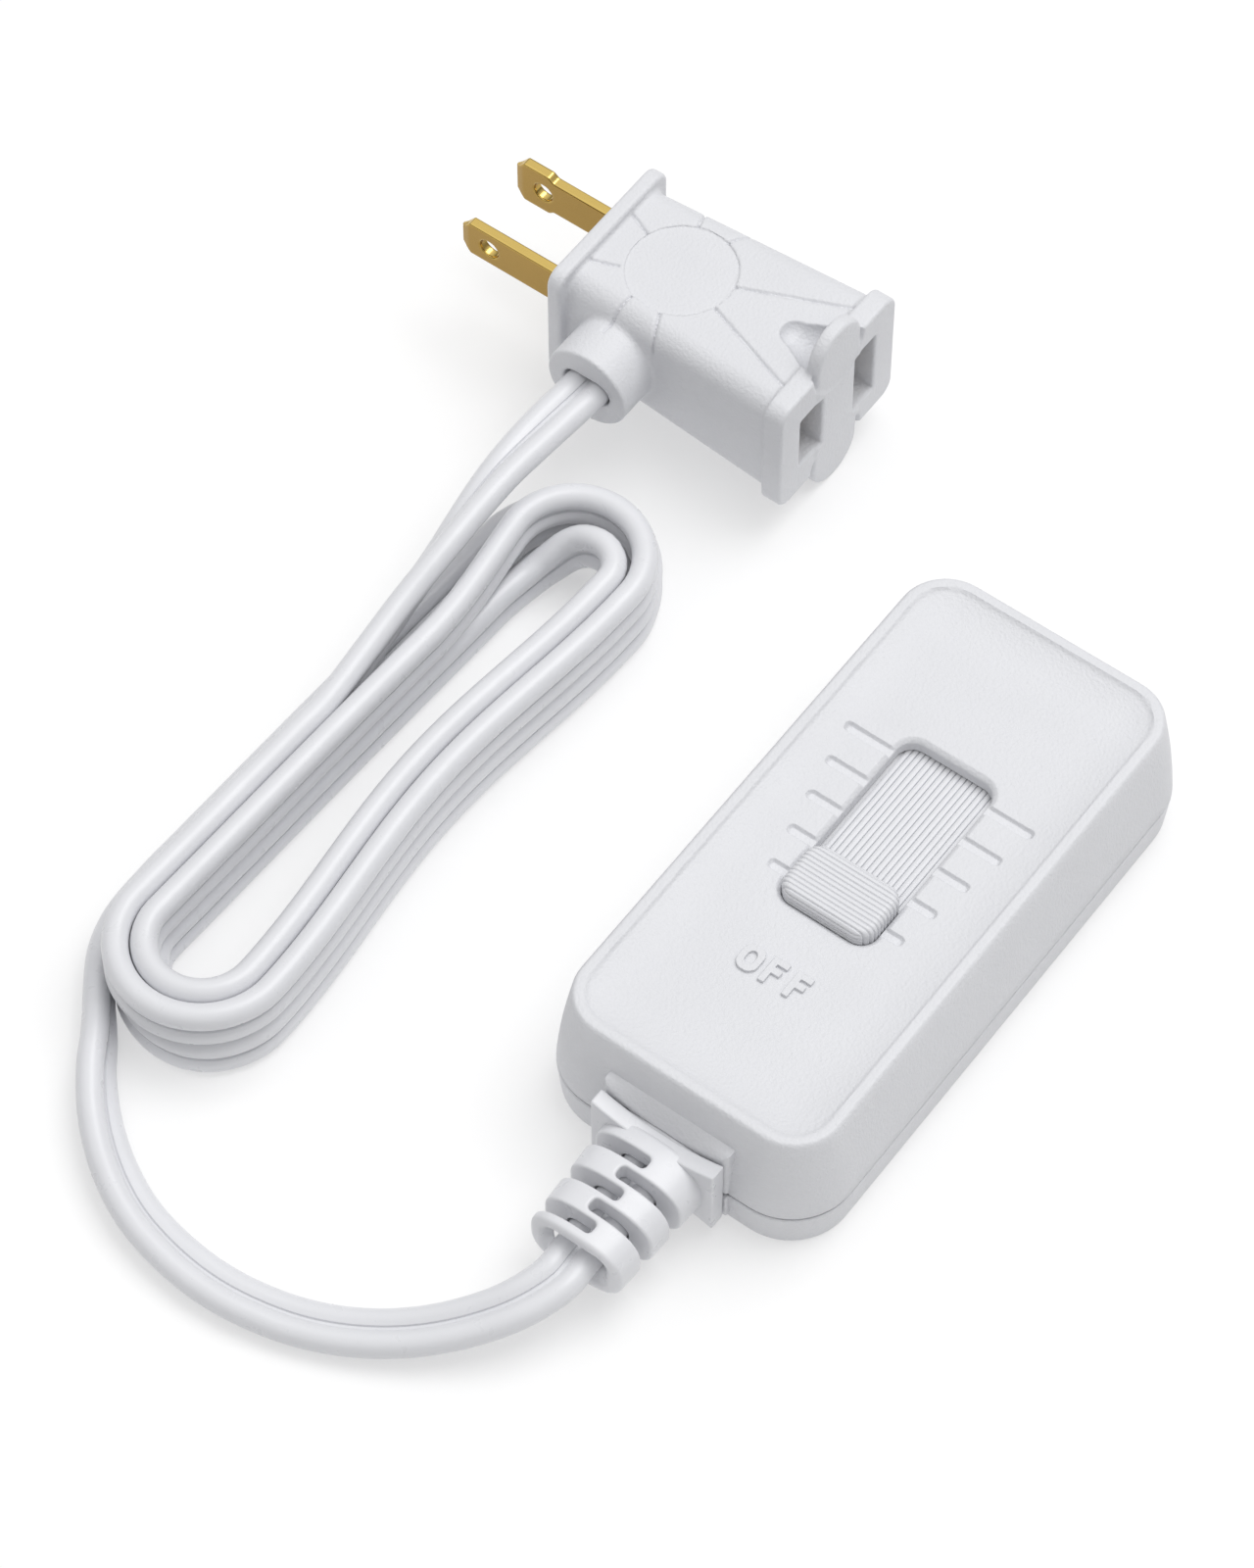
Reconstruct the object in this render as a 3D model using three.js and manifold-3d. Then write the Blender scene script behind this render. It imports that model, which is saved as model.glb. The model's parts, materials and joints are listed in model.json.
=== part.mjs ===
// A plug-in lamp dimmer cord: a polarised pass-through plug, a flat two-core cord laid in a hank
// and a floor loop, and a table-top box with a slide control.
// Millimetres, +Z up. The origin is the centre of the dimmer box's underside; +Y runs along the
// box from its cord end towards full brightness, +X is to the right seen from the cord end.
import * as THREE from 'three';
import { mergeVertices } from 'three/addons/utils/BufferGeometryUtils.js';
import Module from 'manifold-3d';

const wasm = await Module();
wasm.setup();

// ---------------------------------------------------------------- driving dimensions
const GAP = 0.3;

const BOX = {
  height: 22.2,
  parting: 6.8,
  wall: 2.2,
  floor: 2.2,
  ceiling: 18.8,
  rim: { width: 40.6, length: 86.4, radius: 7 },
  body: { width: 45, length: 91, radius: 9.5 },
  base: { width: 44, length: 90, radius: 9 },
  rimBand: 2.5,
  dishDepth: 1.3,
  dishRun: 3.5,
};
const SLOT = { width: 14.8, start: -12, end: 18.7, radius: 2.6 };
const KNOB = { length: 9, top: 22.6, travel: 21 };
const TICK = {
  count: 5, width: 1.7, depth: 0.6,
  firstY: 15.1, pitch: 5.87, firstReach: 15.1, stepReach: 1.08,
};
const MARK = { y: -22, letter: 4.2, stroke: 0.7, pitch: 3.75, raise: 0.3 };
const SHUTTER = { width: 17.4, thickness: 1.5, top: 18.5, ribs: 17, ribBand: 14.2, start: -33.2, end: 20 };
const BOSS = { x: 16, y: 36.8, radius: 3.3, bore: 1.7 };
const SCREW = { headRadius: 2.7, headHeight: 1.7, shankRadius: 1.4, seat: 3, tip: 14 };
const CORD = { width: 7.1, thickness: 3.7, boreClear: 0.35 };
const RELIEF = {
  z: 8.95,
  plate: { front: -48.8, thickness: 2.5, width: 19.4, height: 12.9, arc: 1.5 },
  spout: { front: -46, width: 19.6, top: 16.7, bottom: 2 },
  neck: { width: 11.8, height: 9 },
  innerFlange: { from: -39.8, to: -41.7, width: 16, height: 11.4 },
  barrel: { end: -65.4, startWidth: 17, startHeight: 12.6, endWidth: 14.4, endHeight: 11 },
  slot: { first: -51.2, pitch: 2.92, width: 2, count: 5, overlap: 1.2 },
};
const WIRE = { radius: 0.8, spacing: 1.85, padX: 7, padY: -28 };
const CHOKE = { x: -11, y: -20, radius: 4.4, wire: 2.2 };
const BOARD = { width: 33, start: -30, end: 31, bottom: 4.2, thickness: 1.6 };
const PLUG = {
  x: -48.4, y: 60.7, z: 16.4,
  length: 40.9,
  flange: { thickness: 2.4, width: 25.4, height: 21, radius: 2.4 },
  plate: { thickness: 3.3, width: 27.2, height: 21.5, radius: 2.6 },
  lobe: { width: 10.2, height: 32.7, thickness: 2.2 },
  body: { startWidth: 21.8, startHeight: 18.4, endWidth: 25.6, endHeight: 20.3, radius: 3.4 },
  pitch: 12.7,
  mouth: { width: 5.1, hotHeight: 10.2, neutralHeight: 12, depth: 15 },
  gland: { x: -78, end: 42.05, radius: 6.65 },
  disc: { x: -75.2, radius: 8, floor: 9.15 },
};
const BLADE = {
  tip: -108.6, root: -82.6, thickness: 1.6, height: 6.5,
  wide: 7.9, wideLength: 6, hole: 1.6, holeX: -103.6,
};
const HANK = {
  height: 14.2,
  near: { x: -66, y: -58, half: 13.5 },
  far: { x: -64.4, y: 20, half: 12.2 },
  waist: 1.35,
  bow: 1.5,
  band: 7.6,
  entry: { width: 3.8, height: 7.4, from: 1.2, to: 3.34 },
  step: { x: -75, start: 8, end: 34, height: 7.4 },
};

// The cord's centre where it isn't wound: out of the strain relief and round the floor to the hank.
const LEAD_ROUTE = [
  [0, -65.75, 8.95], [0, -69, 8.8], [-2.1, -74.2, 7.6], [-6.2, -79.2, 5.6], [-11.4, -83.8, 3.9],
  [-17.3, -87.6, 2.8], [-23.8, -90.5, 2.2], [-30.8, -92.4, 2.25], [-37.7, -93.1, 2.35],
  [-44.9, -92.5, 2.5], [-51.6, -90.8, 2.7], [-58, -87.6, 3], [-63.8, -83.2, 3.2],
  [-68.6, -78.1, 3.4], [-71.9, -73.4, 3.5],
];
// From the top of the hank straight on to the plug's gland.
const TAIL_ROUTE = [
  [-78.2, 9.5, 14.3], [-78.6, 16, 15.2], [-78.9, 24, 16], [-78.6, 33, 16.3], [-78, 41.75, 16.4],
];

// ---------------------------------------------------------------- building blocks
const ALONG_Z = new THREE.Matrix4();
// A stack turned to run towards -Y: its outline lies in X and Z, its height h becomes y = -h.
const ALONG_MINUS_Y = new THREE.Matrix4().makeRotationX(Math.PI / 2);
// A stack turned to run towards +Y: its outline lies in X and minus Z, its height h becomes y = h.
const ALONG_Y = new THREE.Matrix4().makeRotationX(-Math.PI / 2);
// A stack turned to run along +X: its outline lies in Y and Z.
const ALONG_X = new THREE.Matrix4().makeBasis(
  new THREE.Vector3(0, 1, 0), new THREE.Vector3(0, 0, 1), new THREE.Vector3(1, 0, 0));

function solidOf(geometry, placement = ALONG_Z) {
  const bare = geometry.clone().applyMatrix4(placement);
  bare.deleteAttribute('normal');
  bare.deleteAttribute('uv');
  const merged = mergeVertices(bare, 1e-4);
  const triVerts = new Uint32Array(merged.index.array);
  const vertProperties = new Float32Array(merged.attributes.position.array);
  return new wasm.Manifold(new wasm.Mesh({ numProp: 3, vertProperties, triVerts }));
}

function geometryOf(solid) {
  const mesh = solid.getMesh();
  const geometry = new THREE.BufferGeometry();
  geometry.setAttribute('position', new THREE.BufferAttribute(new Float32Array(mesh.vertProperties), 3));
  geometry.setIndex(new THREE.BufferAttribute(new Uint32Array(mesh.triVerts), 1));
  geometry.computeVertexNormals();
  return geometry;
}

function joined(first, ...others) {
  return others.reduce((sum, other) => sum.add(other), first);
}

function cut(first, ...others) {
  return others.reduce((sum, other) => sum.subtract(other), first);
}

function block(xRange, yRange, zRange) {
  const size = [xRange, yRange, zRange].map(([low, high]) => high - low);
  const centre = [xRange, yRange, zRange].map(([low, high]) => (low + high) / 2);
  return solidOf(new THREE.BoxGeometry(...size).translate(...centre));
}

function roundedRectangle(width, length, radius, centreX = 0, centreY = 0, steps = 5) {
  const points = [];
  for (let corner = 0; corner < 4; corner += 1) {
    const signX = corner === 0 || corner === 3 ? 1 : -1;
    const signY = corner < 2 ? 1 : -1;
    for (let step = 0; step <= steps; step += 1) {
      const angle = (corner + step / steps) * Math.PI / 2;
      points.push(new THREE.Vector2(
        centreX + signX * (width / 2 - radius) + radius * Math.cos(angle),
        centreY + signY * (length / 2 - radius) + radius * Math.sin(angle)));
    }
  }
  return points;
}

function circle(radius, centreX = 0, centreY = 0, sides = 24) {
  return Array.from({ length: sides }, (_, index) => {
    const angle = index / sides * 2 * Math.PI;
    return new THREE.Vector2(centreX + radius * Math.cos(angle), centreY + radius * Math.sin(angle));
  });
}

// A closed solid through outlines with equal point counts: [[height, outline], ...], lowest first.
function stack(layers, placement = ALONG_Z) {
  const count = layers[0][1].length;
  const positions = [];
  const indices = [];
  for (const [height, outline] of layers) {
    for (const point of outline) positions.push(point.x, point.y, height);
  }
  for (let layer = 0; layer + 1 < layers.length; layer += 1) {
    for (let index = 0; index < count; index += 1) {
      const next = (index + 1) % count;
      const a = layer * count + index;
      const b = layer * count + next;
      indices.push(a, b, b + count, a, b + count, a + count);
    }
  }
  for (const [start, flip] of [[0, true], [(layers.length - 1) * count, false]]) {
    const outline = layers[start / count][1];
    for (const [a, b, c] of THREE.ShapeUtils.triangulateShape(outline, [])) {
      indices.push(start + a, start + (flip ? c : b), start + (flip ? b : c));
    }
  }
  const geometry = new THREE.BufferGeometry();
  geometry.setAttribute('position', new THREE.Float32BufferAttribute(positions, 3));
  geometry.setIndex(indices);
  return solidOf(geometry, placement);
}

function prism(outline, from, to, placement = ALONG_Z) {
  return stack([[Math.min(from, to), outline], [Math.max(from, to), outline]], placement);
}

// A turned solid about a vertical axis through (x, y), from a profile that starts and ends on the axis.
function turned(profile, x, y, sides = 16) {
  const points = profile.map(([radius, height]) => new THREE.Vector2(radius, height));
  const geometry = new THREE.LatheGeometry(points, sides).rotateX(Math.PI / 2).translate(x, y, 0);
  return solidOf(geometry);
}

function sweep(route, outline, steps) {
  const points = route.map((point) => new THREE.Vector3(...point));
  const curve = new THREE.CatmullRomCurve3(points, false, 'centripetal');
  return solidOf(new THREE.ExtrudeGeometry(new THREE.Shape(outline), { steps, extrudePath: curve }));
}

const group = new THREE.Group();
group.name = 'lamp_dimmer_cord';

function addPart(name, solid, finish) {
  const mesh = new THREE.Mesh(geometryOf(solid), new THREE.MeshStandardMaterial(finish));
  mesh.name = name;
  group.add(mesh);
}

const WHITE_PLASTIC = { color: 0xe9eaec, roughness: 0.55, metalness: 0 };
const WHITE_PVC = { color: 0xeeeff1, roughness: 0.35, metalness: 0 };
const GREY_PLASTIC = { color: 0xb9bcc0, roughness: 0.6, metalness: 0 };
const BLACK_PLASTIC = { color: 0x1c1c1e, roughness: 0.5, metalness: 0 };
const CREAM_PLASTIC = { color: 0xd9cfb8, roughness: 0.6, metalness: 0 };
const BRASS = { color: 0xc9a24a, roughness: 0.28, metalness: 1 };
const STEEL = { color: 0xa9abae, roughness: 0.35, metalness: 1 };
const ALUMINIUM = { color: 0xc4c6c8, roughness: 0.4, metalness: 1 };
const COPPER = { color: 0xb5652f, roughness: 0.35, metalness: 1 };
const BOARD_GREEN = { color: 0x2f6b3f, roughness: 0.6, metalness: 0 };

// ---------------------------------------------------------------- dimmer housing
const reliefHeights = [RELIEF.z - RELIEF.neck.height / 2 - GAP, RELIEF.z + RELIEF.neck.height / 2 + GAP];
const wallOpening = block(
  [-RELIEF.neck.width / 2 - GAP, RELIEF.neck.width / 2 + GAP], [-50, -38], reliefHeights);

function outerOutline(sizes, grow = 0) {
  return roundedRectangle(sizes.width + 2 * grow, sizes.length + 2 * grow, sizes.radius + grow);
}

// The wall leans in steadily from the parting line up to the rim.
function bodySizeAt(height) {
  const share = (height - BOX.parting) / (BOX.height - BOX.parting);
  return {
    width: THREE.MathUtils.lerp(BOX.body.width, BOX.rim.width, share),
    length: THREE.MathUtils.lerp(BOX.body.length, BOX.rim.length, share),
    radius: THREE.MathUtils.lerp(BOX.body.radius, BOX.rim.radius, share),
  };
}

function spoutPart(low, high) {
  const half = RELIEF.spout.width / 2;
  return block([-half, half], [RELIEF.spout.front, -BOX.body.length / 2 + 3], [low, high]);
}

function topCover() {
  const bottom = BOX.parting + GAP / 2;
  const edge = 0.5;
  const shell = stack([
    [bottom, outerOutline(bodySizeAt(bottom))],
    [BOX.height - edge, outerOutline(bodySizeAt(BOX.height - edge))],
    [BOX.height, outerOutline(BOX.rim, -edge)],
  ]);
  const cavity = stack([
    [bottom - 1, outerOutline(bodySizeAt(bottom - 1), -BOX.wall)],
    [BOX.ceiling, outerOutline(bodySizeAt(BOX.ceiling), -BOX.wall)],
  ]);
  const lip = outerOutline(BOX.rim, -BOX.rimBand);
  const dishFloor = outerOutline({ ...BOX.rim, radius: BOX.rim.radius + 1 }, -BOX.rimBand - BOX.dishRun);
  const dish = stack([
    [BOX.height - BOX.dishDepth, dishFloor],
    [BOX.height + 0.01, lip],
    [BOX.height + 1, lip],
  ]);
  const slotLength = SLOT.end - SLOT.start;
  const slotCentre = (SLOT.end + SLOT.start) / 2;
  const slot = prism(
    roundedRectangle(SLOT.width, slotLength, SLOT.radius, 0, slotCentre), BOX.ceiling - 1, BOX.height + 1);
  const bosses = [];
  const bores = [];
  for (const x of [-BOSS.x, BOSS.x]) {
    for (const y of [-BOSS.y, BOSS.y]) {
      bosses.push(prism(circle(BOSS.radius, x, y, 16), bottom, BOX.ceiling + 0.5));
      bores.push(prism(circle(BOSS.bore, x, y, 12), bottom - 1, SCREW.tip + 1.5));
    }
  }
  const railInner = SHUTTER.width / 2 + GAP;
  const railOuter = railInner + 1.4;
  const rails = [[-railOuter, -railInner], [railInner, railOuter]].map(
    (reach) => block(reach, [-35, 42], [16.4, BOX.ceiling + 0.2]));
  const hollow = joined(
    cut(joined(shell, spoutPart(bottom, RELIEF.spout.top)), cavity), ...bosses, ...rails);
  return joined(cut(hollow, dish, slot, wallOpening, ...bores, ...tickGrooves()), ...offMark());
}

function tickGrooves() {
  const floor = BOX.height - BOX.dishDepth - TICK.depth;
  const grooves = [];
  for (let index = 0; index < TICK.count; index += 1) {
    const reach = TICK.firstReach - index * TICK.stepReach;
    const inner = SLOT.width / 2 - 1.5;
    for (const side of [-1, 1]) {
      const outline = roundedRectangle(
        reach - inner, TICK.width, TICK.width / 2 - 0.01, side * (reach + inner) / 2,
        TICK.firstY - index * TICK.pitch, 3);
      grooves.push(prism(outline, floor, BOX.height + 1));
    }
  }
  return grooves;
}

// The raised word OFF beside the slot's near end, in plain block strokes.
function offMark() {
  const low = BOX.height - BOX.dishDepth - 0.2;
  const high = BOX.height - BOX.dishDepth + MARK.raise;
  const half = MARK.letter / 2;
  const width = MARK.letter * 0.62;
  const oval = (across, along, radius) => roundedRectangle(across, along, radius, -MARK.pitch, MARK.y);
  const ring = cut(
    prism(oval(width + 0.6, MARK.letter, width / 2), low, high),
    prism(oval(width - 0.9, MARK.letter - 2 * MARK.stroke, width / 4), low - 1, high + 1));
  const letters = [ring];
  for (const centre of [0, MARK.pitch]) {
    const left = centre - width / 2;
    const upright = block([left, left + MARK.stroke], [MARK.y - half, MARK.y + half], [low, high]);
    const topBar = block([left, left + width], [MARK.y + half - MARK.stroke, MARK.y + half], [low, high]);
    const midBar = block([left, left + width * 0.8], [MARK.y - 0.3, MARK.y + MARK.stroke - 0.3], [low, high]);
    letters.push(joined(upright, topBar, midBar));
  }
  return letters;
}

function baseCover() {
  const top = BOX.parting - GAP / 2;
  const shell = stack([
    [0, outerOutline(BOX.base, -1)],
    [1, outerOutline(BOX.base)],
    [top, outerOutline(BOX.body)],
  ]);
  const cavity = stack([
    [BOX.floor, outerOutline(BOX.base, -BOX.wall)],
    [top + 1, outerOutline(BOX.body, -BOX.wall)],
  ]);
  const bosses = [];
  const bores = [];
  for (const x of [-BOSS.x, BOSS.x]) {
    for (const y of [-BOSS.y, BOSS.y]) {
      bosses.push(prism(circle(BOSS.radius + 1, x, y, 16), 0.5, top));
      bores.push(prism(circle(SCREW.headRadius + GAP, x, y, 16), -1, SCREW.seat));
      bores.push(prism(circle(BOSS.bore, x, y, 12), -1, top + 1));
    }
  }
  const posts = [];
  for (const x of [-13, 13]) {
    for (const y of [BOARD.start + 3, BOARD.end - 3]) {
      posts.push(prism(circle(2, x, y, 12), BOX.floor - 0.5, BOARD.bottom - GAP));
    }
  }
  const hollow = cut(joined(shell, spoutPart(RELIEF.spout.bottom, top)), cavity);
  return cut(joined(hollow, ...bosses, ...posts), wallOpening, ...bores);
}

addPart('top_cover', topCover(), WHITE_PLASTIC);
addPart('base_cover', baseCover(), WHITE_PLASTIC);

let screwNumber = 0;
for (const x of [-BOSS.x, BOSS.x]) {
  for (const y of [-BOSS.y, BOSS.y]) {
    screwNumber += 1;
    const headTop = SCREW.seat - GAP;
    const screw = turned([
      [0, headTop - SCREW.headHeight], [SCREW.headRadius, headTop - SCREW.headHeight],
      [SCREW.headRadius, headTop], [SCREW.shankRadius, headTop],
      [SCREW.shankRadius, SCREW.tip - 1.5], [0, SCREW.tip],
    ], x, y, 12);
    const recess = SCREW.headHeight / 2;
    const low = headTop - SCREW.headHeight - 1;
    const across = block([x - 1.6, x + 1.6], [y - 0.35, y + 0.35], [low, low + 1 + recess]);
    const along = block([x - 0.35, x + 0.35], [y - 1.6, y + 1.6], [low, low + 1 + recess]);
    addPart(`cover_screw_${screwNumber}`, cut(screw, across, along), STEEL);
  }
}

// ---------------------------------------------------------------- slide control
const knobStart = SLOT.start + GAP;
const knobCentre = knobStart + KNOB.length / 2;
const leverHalf = 1.2;

function sliderKnob() {
  const width = SLOT.width - 2 * GAP;
  const outline = (inset, lift) => [
    lift, roundedRectangle(width - 2 * inset, KNOB.length - 2 * inset, 2.4 - inset * 0.5, 0, knobCentre)];
  const body = stack([
    outline(0, SHUTTER.top + GAP), outline(0, KNOB.top - 1.4),
    outline(0.5, KNOB.top - 0.5), outline(1.4, KNOB.top),
  ]);
  const grooves = [];
  const ribCount = 9;
  for (let index = 1; index < ribCount; index += 1) {
    const y = knobStart + index * KNOB.length / ribCount;
    grooves.push(block([-width, width], [y - 0.12, y + 0.12], [KNOB.top - 0.35, KNOB.top + 1]));
  }
  const socket = block(
    [-leverHalf - GAP, leverHalf + GAP], [knobCentre - leverHalf - GAP, knobCentre + leverHalf + GAP],
    [SHUTTER.top, SHUTTER.top + 2.4]);
  return cut(body, socket, ...grooves);
}

// The ribbed strip under the slot: it travels with the knob and keeps the slot closed at both ends.
function sliderShutter() {
  const half = SHUTTER.width / 2;
  const bottom = SHUTTER.top - SHUTTER.thickness;
  const strip = block([-half, half], [SHUTTER.start, SHUTTER.end], [bottom, SHUTTER.top]);
  const grooves = [];
  for (let index = 0; index <= SHUTTER.ribs; index += 1) {
    const x = (index / SHUTTER.ribs - 0.5) * SHUTTER.ribBand;
    grooves.push(block(
      [x - 0.12, x + 0.12], [knobStart + KNOB.length + GAP, SHUTTER.end + 1],
      [SHUTTER.top - 0.35, SHUTTER.top + 1]));
  }
  const window = block(
    [-leverHalf - GAP, leverHalf + GAP], [knobCentre - leverHalf - GAP, knobCentre + leverHalf + GAP],
    [bottom - 1, SHUTTER.top + 1]);
  return cut(strip, window, ...grooves);
}

function sliderCarriage() {
  const top = SHUTTER.top - SHUTTER.thickness - GAP;
  const body = block([-6.5, 6.5], [knobCentre - 5, knobCentre + 5], [top - 3.2, top]);
  return cut(body, block(
    [-leverHalf - GAP, leverHalf + GAP], [knobCentre - leverHalf - GAP, knobCentre + leverHalf + GAP],
    [top - 5, top + 1]));
}

const boardTop = BOARD.bottom + BOARD.thickness;
const potCentre = knobCentre + KNOB.travel / 2;
const potSlotHalf = KNOB.travel / 2 + leverHalf + 1;

function potentiometerBody() {
  const low = boardTop + GAP;
  const start = potCentre - potSlotHalf;
  const end = potCentre + potSlotHalf;
  const shell = block([-4.6, 4.6], [start - 4, end + 4], [low, low + 6.6]);
  const channel = block([-2.8, 2.8], [start, end], [low + 1.4, low + 5.8]);
  const opening = block([-1.6, 1.6], [start, end], [low + 5, low + 8]);
  return cut(shell, channel, opening);
}

function potentiometerWiper() {
  const low = boardTop + GAP + 1.8;
  const shoe = block([-2.4, 2.4], [knobCentre - 2, knobCentre + 2], [low, low + 1.6]);
  const lever = block(
    [-leverHalf, leverHalf], [knobCentre - leverHalf, knobCentre + leverHalf],
    [low + 1, SHUTTER.top + 2]);
  return joined(shoe, lever);
}

addPart('slider_knob', sliderKnob(), WHITE_PLASTIC);
addPart('slider_shutter', sliderShutter(), WHITE_PLASTIC);
addPart('slider_carriage', sliderCarriage(), GREY_PLASTIC);
addPart('potentiometer_body', potentiometerBody(), STEEL);
addPart('potentiometer_wiper', potentiometerWiper(), BLACK_PLASTIC);

// ---------------------------------------------------------------- circuit
function circuitBoard() {
  const half = BOARD.width / 2;
  const pads = [-WIRE.padX, WIRE.padX].map((x) => prism(circle(0.6, x, WIRE.padY, 8), 0, 20));
  return cut(block([-half, half], [BOARD.start, BOARD.end], [BOARD.bottom, boardTop]), ...pads);
}

function triac() {
  const low = boardTop + 2 + GAP;
  const tab = block([6.4, 16], [16, 23], [low, low + 1.3]);
  const body = block([6.2, 16.2], [7.4, 16.5], [low, low + 4.3]);
  const hole = prism(circle(1.9, 11.2, 19.6, 12), low - 1, low + 3);
  const leads = [8.7, 11.2, 13.7].map((x) => block([x - 0.4, x + 0.4], [1.6, 8], [low + 1.4, low + 2]));
  const feet = [8.7, 11.2, 13.7].map((x) => block([x - 0.4, x + 0.4], [1.6, 2.2], [boardTop + GAP, low + 2]));
  return joined(cut(joined(body, tab), hole), ...leads, ...feet);
}

function heatSink() {
  const low = boardTop + GAP;
  const plate = block([6, 16.4], [4.4, 27], [low, low + 1.4]);
  const fin = block([6, 16.4], [26.2, 27.4], [low, low + 6.5]);
  return cut(joined(plate, fin), prism(circle(1.2, 11.2, 19.6, 12), low - 1, low + 3));
}

function triacScrew() {
  const seat = boardTop + 2 + GAP + 1.3 + GAP;
  return turned([
    [0, boardTop + GAP], [0.85, boardTop + GAP], [0.85, seat],
    [2.6, seat], [2.6, seat + 1.4], [0, seat + 1.4],
  ], 11.2, 19.6, 12);
}

function choke() {
  const low = boardTop + GAP;
  const section = circle(CHOKE.wire, CHOKE.radius, low + CHOKE.wire, 8);
  const ring = new THREE.LatheGeometry([...section, section[0]], 20);
  return solidOf(ring.rotateX(Math.PI / 2).translate(CHOKE.x, CHOKE.y, 0));
}

addPart('circuit_board', circuitBoard(), BOARD_GREEN);
addPart('triac', triac(), BLACK_PLASTIC);
addPart('heat_sink', heatSink(), ALUMINIUM);
addPart('triac_screw', triacScrew(), STEEL);
addPart('choke', choke(), COPPER);

const partFloor = boardTop + GAP;
const lying = (radius, x) => circle(radius, x, -partFloor - radius, 10);
addPart('film_capacitor', block([-13.6, -7.6], [-2.5, 10.5], [partFloor, partFloor + 9]), CREAM_PLASTIC);
addPart('timing_capacitor', block([-13.2, -8.4], [13, 20], [partFloor, partFloor + 7]), CREAM_PLASTIC);
addPart('trigger_diode', prism(lying(1.2, -10.8), 23, 28, ALONG_Y), GREY_PLASTIC);
addPart('resistor', prism(lying(1.3, 10.6), -18, -11, ALONG_Y), CREAM_PLASTIC);

// ---------------------------------------------------------------- strain relief
function reliefBore(low, high) {
  const outline = roundedRectangle(
    CORD.width + 2 * CORD.boreClear, CORD.thickness + 2 * CORD.boreClear,
    CORD.thickness / 2 + CORD.boreClear - 0.01, 0, RELIEF.z, 4);
  return prism(outline, low, high, ALONG_MINUS_Y);
}

// The front plate, with its top and bottom edges hollowed by a shallow arc.
function reliefPlate() {
  const { front, thickness, width, height, arc } = RELIEF.plate;
  const half = width / 2;
  const points = [];
  const steps = 8;
  for (const side of [1, -1]) {
    for (let step = 0; step <= steps; step += 1) {
      const x = side * half * (1 - 2 * step / steps);
      const dip = arc * (1 - (x / half) ** 2);
      points.push(new THREE.Vector2(x, RELIEF.z + side * (height / 2 - dip)));
    }
  }
  return prism(points, -(front + thickness), -front, ALONG_MINUS_Y);
}

function strainRelief() {
  const { plate, neck, innerFlange, barrel, slot } = RELIEF;
  const oval = (width, height) => roundedRectangle(width, height, height / 2 - 0.4, 0, RELIEF.z, 5);
  const flange = prism(
    roundedRectangle(innerFlange.width, innerFlange.height, 2, 0, RELIEF.z, 3),
    -innerFlange.from, -innerFlange.to, ALONG_MINUS_Y);
  const neckBar = block(
    [-neck.width / 2, neck.width / 2], [plate.front, innerFlange.from],
    [RELIEF.z - neck.height / 2, RELIEF.z + neck.height / 2]);
  const sleeve = stack([
    [-plate.front - 0.5, oval(barrel.startWidth, barrel.startHeight)],
    [-barrel.end - 1, oval(barrel.endWidth, barrel.endHeight)],
    [-barrel.end, oval(barrel.endWidth - 1.2, barrel.endHeight - 1.2)],
  ], ALONG_MINUS_Y);
  const slots = [];
  for (let index = 0; index < slot.count; index += 1) {
    const y = slot.first - index * slot.pitch;
    const reach = index % 2 === 0 ? [-12, slot.overlap] : [-slot.overlap, 12];
    slots.push(block(reach, [y - slot.width / 2, y + slot.width / 2], [0, 20]));
  }
  const solid = joined(reliefPlate(), neckBar, flange, cut(sleeve, ...slots));
  return cut(solid, reliefBore(38, 70));
}

addPart('strain_relief', strainRelief(), WHITE_PVC);

// ---------------------------------------------------------------- cord
function flatCord(from, to, x, z) {
  const outline = roundedRectangle(CORD.width, CORD.thickness, CORD.thickness / 2 - 0.01, x, z, 3);
  return prism(outline, -from, -to, ALONG_MINUS_Y);
}

// A point on the side of one of the hank's long arms: share 0 at its near end, 1 at its far end.
function hankSide(share, side, inset) {
  const swell = Math.sin(Math.PI * share) ** 2;
  const half = THREE.MathUtils.lerp(HANK.near.half, HANK.far.half, share) - HANK.waist * swell;
  const middle = THREE.MathUtils.lerp(HANK.near.x, HANK.far.x, share) - HANK.bow * swell;
  return new THREE.Vector2(
    middle + side * (half - inset), THREE.MathUtils.lerp(HANK.near.y, HANK.far.y, share));
}

// A point round the hank, inset from its outer face. Turn 0 to 1 is the right arm, 1 to 2 the far
// end, 2 to 3 the left arm and 3 to 4 the near end.
function hankPoint(turn, inset) {
  const stretch = Math.min(Math.floor(turn), 3);
  const share = turn - stretch;
  if (stretch === 0) return hankSide(share, 1, inset);
  if (stretch === 2) return hankSide(1 - share, -1, inset);
  const end = stretch === 1 ? HANK.far : HANK.near;
  const angle = (share + (stretch === 1 ? 0 : 1)) * Math.PI;
  const radius = end.half - inset;
  return new THREE.Vector2(end.x + radius * Math.cos(angle), end.y + radius * Math.sin(angle));
}

function hankLoop(inset) {
  const steps = 44;
  return Array.from({ length: steps }, (_, step) => hankPoint(step / steps * 4, inset));
}

// Where the lead runs in beside the winding: a third column on the floor outside the left arm.
function hankEntry() {
  const { width, height, from, to } = HANK.entry;
  const steps = 24;
  const outline = [];
  for (let step = 0; step <= steps; step += 1) {
    const share = step / steps;
    const inset = -width * Math.min(1, share * 3);
    outline.push(hankPoint(THREE.MathUtils.lerp(from, to, share), inset));
  }
  for (let step = steps; step >= 0; step -= 1) {
    outline.push(hankPoint(THREE.MathUtils.lerp(from, to, step / steps), 1));
  }
  return prism(outline, 0, height);
}

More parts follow.
